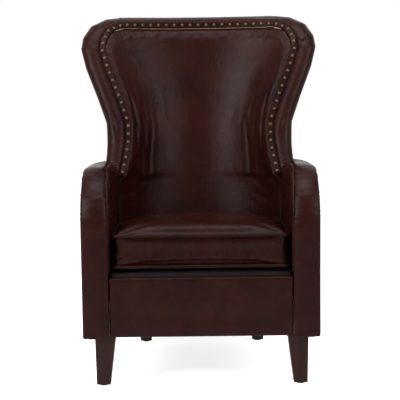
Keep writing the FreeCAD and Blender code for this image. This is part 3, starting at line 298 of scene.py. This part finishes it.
@dataclass(frozen=True)
class Hide(Finish):
    """Semi-gloss upholstery hide with mottling, pebble grain, creases and rubbed high spots."""

    worn: Tone = (0.021, 0.0065, 0.0045)
    grain: float = 520.0
    shine: float = 0.01

    def paint(self, tree: Tree) -> None:
        """Mottled tone, rubbed edges, and three depths of creasing."""
        clouds = tree.noise(7.0, 5.0, 0.55, twist=0.6)
        flecks = tree.noise(60.0, 4.0, 0.6)
        tone = (clouds * 0.65 + flecks * 0.35).spread(0.3, 0.7)
        base = tone.mix(self.dark, self.light)
        edge = tree.add("ShaderNodeNewGeometry", {}, output="Pointiness").spread(0.52, 0.6)
        rub = edge * tree.noise(18.0, 3.0, 0.5).spread(0.4, 0.65)
        colour = tree.add("ShaderNodeMix", {0: rub * 0.7, 6: base, 7: (*self.worn, 1.0)}, output=2,
                          data_type="RGBA", clamp_factor=True)
        tree.put(Base_Color=colour, Coat_Weight=self.shine, Coat_Roughness=0.32,
                 Specular_IOR_Level=0.036)
        tree.put(Roughness=tree.noise(11.0, 4.0, 0.6).spread(0.3, 0.7, self.rough - 0.07,
                                                             self.rough + 0.1))
        folds = tree.noise(16.0, 5.0, 0.62, (1.0, 1.0, 0.55), 1.4)
        veins = tree.cells(70.0, "DISTANCE_TO_EDGE").spread(0.0, 0.12)
        pebble = tree.cells(self.grain, "DISTANCE_TO_EDGE").spread(0.0, 0.22)
        tree.bump(folds, 0.28, 0.006)
        tree.bump(veins, 0.12, 0.0006)
        tree.bump(pebble, 0.3, 0.00035)


@dataclass(frozen=True)
class Wood(Finish):
    """Wood with its grain along Z, stained and lacquered or left raw."""

    lacquer: float = 0.0

    def paint(self, tree: Tree) -> None:
        """Figure and pores that run along the leg or rail."""
        figure = tree.noise(22.0, 6.0, 0.6, (1.0, 1.0, 0.09), 1.2)
        pores = tree.noise(420.0, 3.0, 0.6, (1.0, 1.0, 0.035))
        tone = (figure * 0.75 + pores * 0.25).spread(0.36, 0.62)
        tree.put(Base_Color=tone.mix(self.dark, self.light), Coat_Weight=self.lacquer,
                 Coat_Roughness=0.2, Specular_IOR_Level=0.07)
        tree.put(Roughness=pores.spread(0.3, 0.7, self.rough, self.rough + 0.14))
        tree.bump(pores, 0.2, 0.0003)


@dataclass(frozen=True)
class Metal(Finish):
    """Metal with tarnish in its hollows."""

    speck: float = 260.0

    def paint(self, tree: Tree) -> None:
        """Bright high spots and dull hollows."""
        tarnish = tree.noise(self.speck, 4.0, 0.6).spread(0.35, 0.65)
        hollow = tree.add("ShaderNodeNewGeometry", {}, output="Pointiness").spread(0.46, 0.56)
        tree.put(Base_Color=(tarnish * 0.5 + hollow * 0.5).mix(self.dark, self.light),
                 Metallic=0.92)
        tree.put(Roughness=tarnish.spread(0.0, 1.0, self.rough + 0.16, self.rough))
        tree.bump(tarnish, 0.15, 0.0002)


@dataclass(frozen=True)
class Cloth(Finish):
    """Woven, needled, foamed or moulded stuff; a higher thread makes it finer."""

    thread: float = 900.0

    def paint(self, tree: Tree) -> None:
        """Threads both ways, with fluff over them."""
        threads = {"Vector": tree.place, "Scale": self.thread / FINENESS_TO_WAVE, "Distortion": 0.6}
        warp = tree.add("ShaderNodeTexWave", threads, bands_direction="X")
        weft = tree.add("ShaderNodeTexWave", threads, bands_direction="Z")
        weave = (warp + weft) * 0.5
        fluff = tree.noise(90.0, 5.0, 0.65)
        tree.put(Base_Color=(weave * 0.4 + fluff * 0.6).spread(0.25, 0.75).mix(self.dark, self.light))
        tree.put(Roughness=fluff.spread(0.3, 0.7, self.rough - 0.08, self.rough),
                 Specular_IOR_Level=0.1)
        tree.bump(weave, 0.4, 0.0004)
        tree.bump(fluff, 0.3, 0.0012)


FINISHES: dict[Slot, Finish] = {
    Slot.HIDE: Hide((0.005, 0.0013, 0.0011), (0.0135, 0.0027, 0.0019), 0.27),
    Slot.WELT: Hide((0.0035, 0.001, 0.0008), (0.009, 0.002, 0.0015), 0.33, grain=700.0),
    Slot.LEG: Wood((0.004, 0.0011, 0.0009), (0.015, 0.0036, 0.0026), 0.32, lacquer=0.01),
    Slot.FRAME: Wood((0.36, 0.24, 0.13), (0.62, 0.46, 0.28), 0.62),
    Slot.FOAM: Cloth((0.7, 0.62, 0.38), (0.86, 0.8, 0.58), 0.95, thread=1500.0),
    Slot.WADDING: Cloth((0.7, 0.69, 0.64), (0.88, 0.87, 0.83), 0.97, thread=1200.0),
    Slot.FELT: Cloth((0.2, 0.2, 0.18), (0.42, 0.41, 0.38), 0.97, thread=1400.0),
    Slot.PLATFORM: Cloth((0.002, 0.0013, 0.0011), (0.006, 0.004, 0.0034), 0.95, thread=1800.0),
    Slot.WEBBING: Cloth((0.28, 0.2, 0.12), (0.5, 0.4, 0.26), 0.9, thread=1100.0),
    Slot.DUST: Cloth((0.006, 0.006, 0.006), (0.022, 0.022, 0.022), 0.9, thread=1600.0),
    Slot.SPRING: Metal((0.16, 0.16, 0.17), (0.5, 0.5, 0.53), 0.3),
    Slot.FASTENER: Metal((0.3, 0.3, 0.31), (0.62, 0.62, 0.64), 0.34),
    Slot.NAIL: Metal((0.01, 0.005, 0.003), (0.085, 0.04, 0.022), 0.36, speck=700.0),
    Slot.ZIP: Metal((0.1, 0.06, 0.03), (0.4, 0.28, 0.13), 0.33, speck=900.0),
    Slot.GLIDE: Cloth((0.012, 0.012, 0.012), (0.03, 0.03, 0.03), 0.5, thread=3000.0),
}


def placed(name: str, data: bpy.types.ID) -> bpy.types.Object:
    """New object round its data, linked to the scene."""
    obj = bpy.data.objects.new(name, data)
    bpy.context.scene.collection.objects.link(obj)
    return obj


class Shape:
    """A working mesh in numpy arrays, written back to its object when it changes."""

    def __init__(self, obj: bpy.types.Object) -> None:
        """Work on the mesh of an object."""
        self.obj = obj

    def points(self) -> np.ndarray:
        """Vertex places, one row each."""
        return self._read("co")

    def normals(self) -> np.ndarray:
        """Vertex normals, one row each."""
        return self._read("normal")

    def _read(self, what: str) -> np.ndarray:
        """One vector of every vertex, one row each."""
        found = np.zeros(len(self.obj.data.vertices) * 3, np.float32)
        self.obj.data.vertices.foreach_get(what, found)
        return found.reshape(-1, 3).astype(float)

    def write(self, points: np.ndarray) -> None:
        """Move the vertices."""
        self.obj.data.vertices.foreach_set("co", points.astype(np.float32).ravel())
        self.obj.data.update()

    def push(self, amounts: np.ndarray | float) -> None:
        """Move the vertices along their normals, in metres."""
        amounts = np.broadcast_to(amounts, (len(self.obj.data.vertices),))
        self.write(self.points() + self.normals() * amounts[:, None])

    def bake(self) -> None:
        """Turn what the modifiers make into the mesh itself."""
        graph = bpy.context.evaluated_depsgraph_get()
        made = bpy.data.meshes.new_from_object(self.obj.evaluated_get(graph))
        self.obj.modifiers.clear()
        self.obj.data = made

    def modify(self, kind: str, **settings: object) -> None:
        """Add one modifier and bake it."""
        modifier = self.obj.modifiers.new(kind.lower(), kind)
        for key, value in settings.items():
            setattr(modifier, key, value)
        self.bake()


@dataclass(frozen=True)
class Relief:
    """Something that moves a soft surface in or out, by its depth over its width, in metres."""

    depth: float
    width: float

    def heights(self, points: np.ndarray) -> np.ndarray:
        """How far each point moves out, in metres."""
        raise NotImplementedError


@dataclass(frozen=True)
class Fold(Relief):
    """A crease between two points as the camera in front sees them, with a raised lip beside it."""

    start: tuple[float, float] = (0.0, 0.0)
    end: tuple[float, float] = (0.0, 0.0)
    lip: float = 0.6
    bow: float = 0.0

    def heights(self, points: np.ndarray) -> np.ndarray:
        """Valley with a lip beside it, fading to both ends."""
        flat = points[:, [0, 2]]
        a, b = np.array(self.start), np.array(self.end)
        run = b - a
        length = np.linalg.norm(run)
        share = ((flat - a) @ run) / length ** 2
        side = (flat - a) @ np.array([-run[1], run[0]]) / length
        side = side - self.bow * np.sin(np.pi * np.clip(share, 0, 1))
        fade = np.sin(np.pi * np.clip(share, 0, 1)) ** 0.6
        valley = np.exp(-(side / self.width) ** 2)
        ridge = self.lip * np.exp(-((side - 1.9 * self.width) / (1.3 * self.width)) ** 2)
        return self.depth * fade * (ridge - valley)


@dataclass(frozen=True)
class Bulge(Relief):
    """A soft swelling about one point."""

    middle: Point = (0.0, 0.0, 0.0)

    def heights(self, points: np.ndarray) -> np.ndarray:
        """Round swelling that fades with distance."""
        far = np.linalg.norm(points - np.array(self.middle), axis=1)
        return self.depth * np.exp(-(far / self.width) ** 2)


@dataclass(frozen=True)
class Pucker(Relief):
    """Dimples round a row of points, such as nails."""

    spots: tuple[Point, ...] = ()

    def heights(self, points: np.ndarray) -> np.ndarray:
        """Dimple at the nearest spot."""
        tree = KDTree(len(self.spots))
        for i, spot in enumerate(self.spots):
            tree.insert(spot, i)
        tree.balance()
        far = np.array([tree.find(p)[2] for p in points])
        return -self.depth * np.exp(-(far / self.width) ** 2)


@dataclass(frozen=True)
class Gather(Relief):
    """Ripples across a seam that die out away from it."""

    path: tuple[Point, ...] = ()
    pitch: float = 0.012
    seed: int = 1

    def heights(self, points: np.ndarray) -> np.ndarray:
        """Ripples along the nearest stretch of the seam."""
        best = np.full(len(points), 1e9)
        along = np.zeros(len(points))
        walked = 0.0
        for a, b in zip(self.path, self.path[1:]):
            start, run = np.array(a), np.array(b) - np.array(a)
            length = np.linalg.norm(run)
            share = np.clip((points - start) @ run / length ** 2, 0, 1)
            far = np.linalg.norm(points - start - share[:, None] * run, axis=1)
            near = far < best
            best[near] = far[near]
            along[near] = walked + share[near] * length
            walked += length
        dice = random.Random(self.seed)
        waves = np.zeros(len(points))
        for k in (0.63, 1.0, 1.7):
            waves += np.sin(2 * math.pi * along / (self.pitch * k) + dice.uniform(0, 6.3)) / 2.2
        return self.depth * waves * np.exp(-(best / self.width) ** 2)


@dataclass(frozen=True)
class Swell:
    """Settings of a cloth simulation that puffs a piece between its held seams.

    Cap is how far a point may move, slack the share by which the cloth is cut too large, and
    hold how near a seam the cloth is held, in metres.
    """

    pressure: float
    cap: float
    slack: float
    hold: float
    frames: int
    mass: float = 0.3
    stiffness: float = 1.2
    quality: int = 4


@dataclass
class Padded:
    """One soft piece: the covers that it stands for, what fills them and how it is worked.

    Grow is how far it is pushed out before its remesh and puff after it, in metres.
    """

    name: str
    covers: tuple[str, ...]
    fills: tuple[str, ...] = ()
    voxel: float = 0.004
    grow: float = 0.0
    relax: int = 8
    puff: float = 0.0008
    slot: Slot = Slot.HIDE
    body: Body = Body.CHAIR
    hand: Hand | None = None
    fill: float = 0.8
    swell: Swell | None = None
    seams: tuple[str, ...] = ()
    reliefs: list[Relief] = field(default_factory=list)

    def build(self, studio: "Studio") -> bpy.types.Object:
        """Make the piece.

        Args:
            studio: holds the frame's nodes and the materials.

        Returns:
            The finished object.
        """
        obj = self._body(studio)
        shape = Shape(obj)
        if self.grow:
            shape.push(self.grow)
        shape.modify("REMESH", mode="VOXEL", voxel_size=self.voxel, adaptivity=0.0)
        shape.modify("SMOOTH", factor=0.5, iterations=self.relax)
        if self.swell:
            self._simulate(shape, studio)
        if self.swell:
            shape.modify("SUBSURF", levels=1)
        shape.push(self.puff)
        for relief in self.reliefs:
            shape.push(relief.heights(shape.points()))
        for polygon in obj.data.polygons:
            polygon.use_smooth = True
        studio.dress(obj, self.slot, self.body)
        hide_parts(*self.covers)
        LOG.info("%s: %d points", self.name, len(obj.data.vertices))
        return obj

    def _body(self, studio: "Studio") -> bpy.types.Object:
        """Covers and stuffing joined into one object."""
        made = bmesh.new()
        for node in self.covers + self.fills:
            part = bmesh.new()
            part.from_mesh(studio.nodes[node].data)
            if self.hand and node in self.fills:
                away = [v for v in part.verts if v.co.x * self.hand.value < 0]
                bmesh.ops.delete(part, geom=away, context="VERTS")
            mesh = bpy.data.meshes.new("part")
            part.to_mesh(mesh)
            part.free()
            made.from_mesh(mesh)
            bpy.data.meshes.remove(mesh)
        bmesh.ops.remove_doubles(made, verts=made.verts, dist=SAME_PLACE)
        mesh = bpy.data.meshes.new(self.name)
        made.to_mesh(mesh)
        made.free()
        return placed(self.name, mesh)

    def _simulate(self, shape: Shape, studio: "Studio") -> None:
        """Puff the piece with Blender's cloth, held along its seams and at its back."""
        obj = shape.obj
        start = shape.points()
        tree = KDTree(sum(len(studio.nodes[n].data.vertices) for n in self.seams))
        for node in self.seams:
            for vertex in studio.nodes[node].data.vertices:
                tree.insert(vertex.co, vertex.index)
        tree.balance()
        held = [i for i, p in enumerate(start) if tree.find(p)[2] < self.swell.hold]
        if self.body is Body.CHAIR:
            behind = shape.normals()[:, 1] > FACES_BACK
            held = sorted(set(held) | set(np.nonzero(behind)[0].tolist()))
        group = obj.vertex_groups.new(name="held")
        group.add([int(i) for i in held], 1.0, "REPLACE")
        modifier = obj.modifiers.new("cloth", "CLOTH")
        cloth = modifier.settings
        cloth.vertex_group_mass = "held"
        cloth.use_pressure = True
        cloth.uniform_pressure_force = self.swell.pressure
        cloth.shrink_min = -self.swell.slack
        cloth.mass = self.swell.mass
        cloth.quality = self.swell.quality
        cloth.bending_stiffness = self.swell.stiffness
        cloth.effector_weights.gravity = 0.0
        modifier.point_cache.frame_end = self.swell.frames
        scene = bpy.context.scene
        for frame in range(1, self.swell.frames + 1):
            scene.frame_set(frame)
        shape.bake()
        moved = shape.points() - start
        far = np.linalg.norm(moved, axis=1)
        scale = np.minimum(1.0, self.swell.cap / np.maximum(far, 1e-9))
        shape.write(start + moved * scale[:, None])
        obj.vertex_groups.clear()
        scene.frame_set(1)


class Studio:
    """The frame, the materials and the room."""

    def __init__(self) -> None:
        """Load the frame and give every node its material."""
        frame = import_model()
        self.cad_box = [list(corner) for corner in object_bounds()]
        self.nodes: dict[str, bpy.types.Object] = frame["nodes"]
        self.materials = {slot: finish.build(slot.value) for slot, finish in FINISHES.items()}
        for part in frame["record"]["subparts"]:
            obj = self.nodes[part["node"]]
            obj.data.materials.clear()
            obj.data.materials.append(self.materials[Slot(part["material_slot"])])

    def dress(self, obj: bpy.types.Object, slot: Slot, body: Body) -> None:
        """Give a piece its material, slot and body."""
        obj.data.materials.clear()
        obj.data.materials.append(self.materials[slot])
        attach(obj, body.value)

    def islands(self, node: str) -> list[np.ndarray]:
        """Vertex places of each loose piece of a node."""
        work = bmesh.new()
        work.from_mesh(self.nodes[node].data)
        bmesh.ops.remove_doubles(work, verts=work.verts, dist=SAME_PLACE)
        seen: set[int] = set()
        found = []
        work.verts.ensure_lookup_table()
        for vertex in work.verts:
            if vertex.index in seen:
                continue
            stack, group = [vertex], []
            seen.add(vertex.index)
            while stack:
                here = stack.pop()
                group.append(tuple(here.co))
                for edge in here.link_edges:
                    other = edge.other_vert(here)
                    if other.index not in seen:
                        seen.add(other.index)
                        stack.append(other)
            found.append(np.array(group))
        work.free()
        return found

    def room(self) -> None:
        """Background, floor, lamps and camera."""
        bpy.context.scene.view_settings.view_transform = "Standard"
        self._background()
        self._floor()
        for lamp in LAMPS:
            lamp.hang()
        self._camera()

    def _background(self) -> None:
        """Soft light from all round, white where the camera, gloss or glass sees it."""
        world = bpy.data.worlds.new("room")
        bpy.context.scene.world = world
        world.use_nodes = True
        nodes, links = world.node_tree.nodes, world.node_tree.links
        path = nodes.new("ShaderNodeLightPath")
        seen = path.outputs["Is Camera Ray"]
        for name in ("Is Glossy Ray", "Is Transmission Ray"):
            add = nodes.new("ShaderNodeMath")
            add.operation = "MAXIMUM"
            links.new(seen, add.inputs[0])
            links.new(path.outputs[name], add.inputs[1])
            seen = add.outputs[0]
        level = nodes.new("ShaderNodeMapRange")
        level.inputs["To Min"].default_value = ROOM_LIGHT
        level.inputs["To Max"].default_value = 1.0
        links.new(seen, level.inputs["Value"])
        links.new(level.outputs[0], nodes["Background"].inputs["Strength"])
        nodes["Background"].inputs["Color"].default_value = (1, 1, 1, 1)

    def _camera(self) -> None:
        """Camera at the photograph's viewing angle."""
        data = bpy.data.cameras.new("camera")
        data.sensor_width = CAMERA_SENSOR
        data.lens = CAMERA_LENS
        camera = placed("camera", data)
        camera.location = CAMERA_PLACE
        camera.rotation_mode = "XYZ"
        camera.rotation_euler = tuple(math.radians(a) for a in CAMERA_TURN)
        bpy.context.scene.camera = camera

    def _floor(self) -> None:
        """Pale floor that glows a little, so that it runs into the background."""
        half = FLOOR_HALF
        corners = [(-half, -half, 0), (half, -half, 0), (half, half, 0), (-half, half, 0)]
        mesh = bpy.data.meshes.new("floor")
        mesh.from_pydata(corners, [], [(0, 1, 2, 3)])
        floor = placed("floor", mesh)
        tree = Tree("floor")
        tree.put(Base_Color=(0.93, 0.93, 0.93, 1.0), Roughness=0.9, Specular_IOR_Level=0.0,
                 Emission_Color=(1.0, 1.0, 1.0, 1.0), Emission_Strength=FLOOR_GLOW)
        mesh.materials.append(tree.material)
        floor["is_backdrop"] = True


@dataclass(frozen=True)
class Lamp:
    """A soft box that looks at the chair."""

    name: str
    place: Point
    aim: Point
    size: tuple[float, float]
    power: float

    def hang(self) -> None:
        """Put the lamp in the room."""
        data = bpy.data.lights.new(self.name, "AREA")
        data.shape = "RECTANGLE"
        data.size, data.size_y = self.size
        data.energy = self.power
        lamp = placed(self.name, data)
        lamp.location = self.place
        sight = Vector(self.aim) - Vector(self.place)
        lamp.rotation_euler = sight.to_track_quat("-Z", "Y").to_euler()


LAMPS = (
    Lamp("left_box", (-2.6, -2.2, 2.3), (0.0, 0.0, 0.6), (1.4, 1.8), 215.0),
    Lamp("right_box", (2.7, -1.9, 2.2), (0.0, 0.0, 0.6), (1.4, 1.8), 115.0),
    Lamp("top_box", (0.0, -0.6, 3.2), (0.0, 0.0, 0.6), (2.2, 1.6), 120.0),
)


@dataclass(frozen=True)
class NailHeads:
    """The nail heads, as round domes in place of the plain ones.

    The profile gives the radius and the height of each ring, as shares of the dome's own.
    """

    sides: int = 20
    lift: float = 0.0026
    profile: tuple[tuple[float, float], ...] = (
        (1.0, 0.0), (1.0, 0.12), (0.93, 0.42), (0.76, 0.7), (0.5, 0.9), (0.22, 0.985))

    def build(self, studio: Studio) -> tuple[Point, ...]:
        """Make the domes.

        Args:
            studio: holds the nodes and materials.

        Returns:
            The places of the nails.
        """
        work = bmesh.new()
        spots = tuple(self._dome(work, group) for group in studio.islands("nail_heads"))
        bmesh.ops.recalc_face_normals(work, faces=work.faces)
        mesh = bpy.data.meshes.new("nail_domes")
        work.to_mesh(mesh)
        work.free()
        for polygon in mesh.polygons:
            polygon.use_smooth = len(polygon.vertices) < self.sides
        obj = placed("nail_domes", mesh)
        studio.dress(obj, Slot.NAIL, Body.CHAIR)
        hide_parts("nail_heads")
        LOG.info("nail_domes: %d nails", len(spots))
        return spots

    def _dome(self, work: bmesh.types.BMesh, group: np.ndarray) -> Point:
        """One dome on the place of a plain head.

        Args:
            work: mesh that takes the dome.
            group: vertex places of the plain head.

        Returns:
            The middle of the dome's foot.
        """
        middle = group.mean(0)
        _, _, axes = np.linalg.svd(group - middle)
        out = axes[2] if axes[2][1] < 0 else -axes[2]
        height = (group @ out).max() - (group @ out).min()
        base = middle - out * (middle @ out - (group @ out).min() - self.lift)
        radius = max(np.linalg.norm(np.cross(group - base, out), axis=1))
        loops = []
        for size, rise in self.profile:
            loop = []
            for i in range(self.sides):
                turn = 2 * math.pi * i / self.sides
                point = base + radius * size * (axes[0] * math.cos(turn) + axes[1] * math.sin(turn))
                loop.append(work.verts.new(point + out * height * rise))
            loops.append(loop)
        tip = work.verts.new(base + out * height)
        for low, high in zip(loops, loops[1:]):
            for i in range(self.sides):
                j = (i + 1) % self.sides
                work.faces.new((low[i], low[j], high[j], high[i]))
        for i in range(self.sides):
            work.faces.new((loops[-1][i], loops[-1][(i + 1) % self.sides], tip))
        work.faces.new(loops[0])
        return tuple(float(v) for v in base)


@dataclass(frozen=True)
class DustSheet:
    """Thin black cloth under the seat, sagging a little between its staples.

    It narrows behind taper_y, by the share taper over the length taper_run, and is cut out
    round the legs.
    """

    steps: int = 60
    lift: float = 0.0005
    sag: float = 0.004
    ripple: float = 0.0008
    taper: float = 0.26
    taper_y: float = -0.09
    taper_run: float = 0.3
    front_leg_x: float = 0.25
    front_leg_y: float = -0.295
    rear_leg_x: tuple[float, float] = (0.16, 0.235)
    rear_leg_y: float = 0.15

    def build(self, studio: Studio) -> None:
        """Make the sheet."""
        low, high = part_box("dust_cover")
        work = bmesh.new()
        self._cut(work, low, high)
        area = sum(f.calc_area() for f in work.faces)
        mesh = bpy.data.meshes.new("dust_sheet")
        work.to_mesh(mesh)
        work.free()
        obj = placed("dust_sheet", mesh)
        studio.dress(obj, Slot.DUST, Body.CHAIR)
        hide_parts("dust_cover")
        LOG.info("dust_sheet: %.3f square metres", area)

    def _cut(self, work: bmesh.types.BMesh, low: Vector, high: Vector) -> None:
        """Lay the cloth out between two corners and cut it round the legs."""
        steps = self.steps
        grid = {}
        for i in range(steps + 1):
            for j in range(steps + 1):
                y = low.y + (high.y - low.y) * j / steps
                narrow = min(1.0, 1.0 - self.taper * max(0.0, y - self.taper_y) / self.taper_run)
                x = (low.x + (high.x - low.x) * i / steps) * narrow
                sag = self.sag * math.sin(math.pi * i / steps) * math.sin(math.pi * j / steps)
                sag += self.ripple * math.sin(0.9 * i) * math.sin(0.7 * j)
                grid[i, j] = work.verts.new((x, y, low.z + self.lift - sag))
        for i in range(steps):
            for j in range(steps):
                corners = [grid[i, j], grid[i + 1, j], grid[i + 1, j + 1], grid[i, j + 1]]
                middle = sum((v.co for v in corners), Vector()) / 4
                if not self._in_leg(abs(middle.x), middle.y):
                    work.faces.new(corners)
        bmesh.ops.delete(work, geom=[v for v in work.verts if not v.link_faces], context="VERTS")

    def _in_leg(self, x: float, y: float) -> bool:
        """Whether a place, by its distance from the middle and its y, is inside a leg."""
        front = x > self.front_leg_x and y < self.front_leg_y
        rear = self.rear_leg_x[0] < x < self.rear_leg_x[1] and y > self.rear_leg_y
        return front or rear


@dataclass(frozen=True)
class MainCovers:
    """Covers of the back, crest, apron and seat platform, with the nail strip."""

    nails: Pucker

    def pieces(self) -> list[Padded]:
        """The covers, ready to build."""
        return [
            Padded("inside_back_leather", ("inside_back_cover",), ("back_foam",), voxel=0.0068,
                   grow=0.004, relax=4, fill=0.75, seams=("nail_strips",),
                   swell=Swell(pressure=3.0, cap=0.005, slack=0.001, hold=0.014, frames=12),
                   reliefs=[self.nails, *self._back_folds()]),
            Padded("crest_leather", ("crest_band",), ("crest_pad",), voxel=0.0035, grow=0.0022,
                   relax=6, reliefs=[self.nails]),
            Padded("apron_leather", ("apron_cover",), ("apron_pad",), relax=7, grow=0.0032,
                   puff=-0.0008, reliefs=self._apron_folds()),
            Padded("outside_back_leather", ("outside_back_cover",), voxel=0.005, grow=0.0022,
                   puff=-0.0012, fill=0.9),
            Padded("nail_strip_leather", ("nail_strips",), voxel=0.002, grow=0.0036, relax=2,
                   puff=-0.0006, slot=Slot.WELT, fill=0.9),
            Padded("seat_platform", ("seat_cloth",), ("seat_foam",), voxel=0.006, puff=0.0002,
                   slot=Slot.PLATFORM, fill=0.9),
        ]

    def _back_folds(self) -> list[Relief]:
        """Creases beside the arms and long hollows higher up."""
        return [
            Fold(0.0032, 0.013, (0.165, 0.60), (0.225, 0.525), bow=0.008),
            Fold(0.0022, 0.011, (0.18, 0.54), (0.25, 0.5)),
            Fold(0.0026, 0.013, (-0.235, 0.63), (-0.18, 0.57), bow=-0.006),
            Fold(0.0018, 0.02, (-0.16, 0.95), (-0.13, 0.74), bow=0.01),
            Fold(0.0018, 0.02, (0.2, 0.97), (0.16, 0.8), bow=-0.01),
        ]

    def _apron_folds(self) -> list[Relief]:
        """Two shallow waves of the front panel."""
        return [Fold(0.0015, 0.02, (-0.2, 0.21), (0.22, 0.2)),
                Fold(0.0012, 0.012, (-0.24, 0.3), (-0.2, 0.17))]


@dataclass(frozen=True)
class Cushion:
    """The loose cushion's leather and its piping.

    The side band's wrinkles stand across its front, over twice half_width, and start between
    the two heights of low.
    """

    wrinkles: int = 26
    half_width: float = 0.255
    low: tuple[float, float] = (0.355, 0.39)
    seed: int = 7

    def pieces(self) -> list[Padded]:
        """The covers, ready to build."""
        return [
            Padded("cushion_leather", ("cushion_top", "cushion_bottom", "cushion_boxing"),
                   ("cushion_core",), voxel=0.0055, relax=5, puff=0.0003, body=Body.CUSHION,
                   fill=0.85, seams=("cushion_welts",),
                   swell=Swell(pressure=4.0, cap=0.005, slack=0.004, hold=0.013, frames=14),
                   reliefs=[*self._wrinkles(),
                            Fold(0.003, 0.006, (-0.262, 0.37), (-0.235, 0.385)),
                            Fold(0.0025, 0.012, (-0.12, 0.468), (0.16, 0.466))]),
            Padded("cushion_piping", ("cushion_welts",), voxel=0.0018, grow=0.0014, relax=4,
                   puff=0.0006, slot=Slot.WELT, body=Body.CUSHION, fill=1.0),
        ]

    def _wrinkles(self) -> list[Relief]:
        """Faint upright wrinkles across the front of the side band."""
        dice = random.Random(self.seed)
        folds: list[Relief] = []
        for i in range(self.wrinkles):
            share = (i + dice.uniform(-0.3, 0.3)) / (self.wrinkles - 1)
            x = -self.half_width + 2 * self.half_width * share
            low = dice.uniform(*self.low)
            folds.append(Fold(dice.uniform(0.0006, 0.0016), dice.uniform(0.003, 0.006), (x, low),
                              (x + dice.uniform(-0.012, 0.012), low + dice.uniform(0.03, 0.07))))
        return folds


@dataclass(frozen=True)
class SideCovers:
    """Wing, arm and outside covers of one side.

    The arm's seam starts at back_y on the flat top, turns down round the swoop and ends at
    foot_z. The other sizes are in metres too.
    """

    hand: Hand
    nails: Pucker
    seat_half: float = 0.273
    arm_top: float = 0.6395
    swoop: float = 0.165
    front_y: float = -0.3741
    back_y: float = -0.03
    middle_y: float = -0.12
    foot_z: float = 0.33
    steps: int = 12

    def pieces(self) -> list[Padded]:
        """The covers, ready to build."""
        hand, word, sign = self.hand, self.hand.name.lower(), self.hand.value
        return [
            Padded(word + "_wing_leather", (word + "_wing_band",), ("wing_pads",), voxel=0.0035,
                   hand=hand, grow=0.0022, relax=6, reliefs=[self.nails, *self._wing_folds()]),
            Padded(word + "_arm_leather", (word + "_arm_band",), ("arm_band_pads",), voxel=0.0035,
                   hand=hand, relax=4, grow=0.0015, puff=0.0015,
                   reliefs=[Gather(0.0006, 0.014, self._seam(0.018), 0.016, seed=3)]),
            Padded(word + "_inside_arm_leather", (word + "_inside_arm_cover",),
                   ("inside_arm_pads",), hand=hand, relax=5, grow=0.0022, puff=0.0,
                   reliefs=[Gather(0.0016, 0.022, self._seam(0.011), 0.013, seed=5 + sign),
                            Bulge(0.013, 0.075, (sign * 0.27, -0.07, 0.565))]),
            Padded(word + "_outside_arm_leather", (word + "_outside_arm_cover",), voxel=0.005,
                   grow=0.0035, puff=-0.0008, fill=0.9),
            Padded(word + "_outside_wing_leather", (word + "_outside_wing_cover",), voxel=0.005,
                   grow=0.0075, puff=-0.0042, fill=0.9),
        ]

    def _seam(self, out: float) -> tuple[Point, ...]:
        """Path along the top of the arm, round its curve and down its front.

        Args:
            out: how far outside the seat's edge it runs.

        Returns:
            The points of the path.
        """
        x = self.hand.value * (self.seat_half + out)
        path = [(x, self.back_y, self.arm_top), (x, self.middle_y, self.arm_top)]
        for i in range(self.steps + 1):
            turn = math.pi / 2 * i / self.steps
            path.append((x, self.front_y + self.swoop * (1 - math.sin(turn)),
                         self.arm_top - self.swoop * (1 - math.cos(turn))))
        path.append((x, self.front_y, self.foot_z))
        return tuple(path)

    def _wing_folds(self) -> list[Relief]:
        """Gathers where the wing band ends on the arm, and the pleats at its top corner."""
        sign = self.hand.value
        folds: list[Relief] = [
            Fold(0.0018, 0.0032, (sign * 0.252, 0.612 + 0.008 * i),
                 (sign * 0.3, 0.606 + 0.011 * i))
            for i in range(5)
        ]
        folds += [
            Fold(0.004, 0.0035, (sign * 0.285, 1.085), (sign * 0.258, 1.135), bow=sign * 0.006),
            Fold(0.002, 0.005, (sign * 0.335, 1.03), (sign * 0.375, 1.05)),
            Fold(0.002, 0.007, (sign * 0.26, 0.72), (sign * 0.29, 0.8)),
        ]
        return folds


@dataclass(frozen=True)
class Stuffing:
    """Foam, wadding and felt, pressed in by the leather over them, deeper in the thick ones."""

    foam: tuple[str, ...] = ("back_foam", "seat_foam", "inside_arm_pads", "cushion_core")
    wadding: tuple[str, ...] = ("wing_pads", "crest_pad", "arm_band_pads", "apron_pad")
    felt: tuple[str, ...] = ("seat_felt",)
    thick: tuple[str, ...] = ("back_foam", "cushion_core")
    loose: tuple[str, ...] = ("cushion_core",)
    pressed: float = -0.0045
    pressed_thick: float = -0.01

    def pieces(self) -> list[Padded]:
        """The stuffings, ready to build."""
        made = []
        for slot, nodes in ((Slot.FOAM, self.foam), (Slot.WADDING, self.wadding),
                            (Slot.FELT, self.felt)):
            for node in nodes:
                puff = self.pressed_thick if node in self.thick else self.pressed
                body = Body.CUSHION if node in self.loose else Body.CHAIR
                made.append(Padded(node + "_fill", (node,), voxel=0.007, relax=4, puff=puff,
                                   slot=slot, body=body, fill=0.9))
        return made


def main() -> None:
    """Build the chair and its room."""
    logging.basicConfig(level=logging.INFO)
    studio = Studio()
    spots = NailHeads().build(studio)
    DustSheet().build(studio)
    nails = Pucker(0.0028, 0.014, spots)
    sides = [SideCovers(hand, nails) for hand in Hand]
    for group in (MainCovers(nails), Cushion(), *sides, Stuffing()):
        for piece in group.pieces():
            piece.build(studio)
    studio.room()


if __name__ == "__main__":
    main()
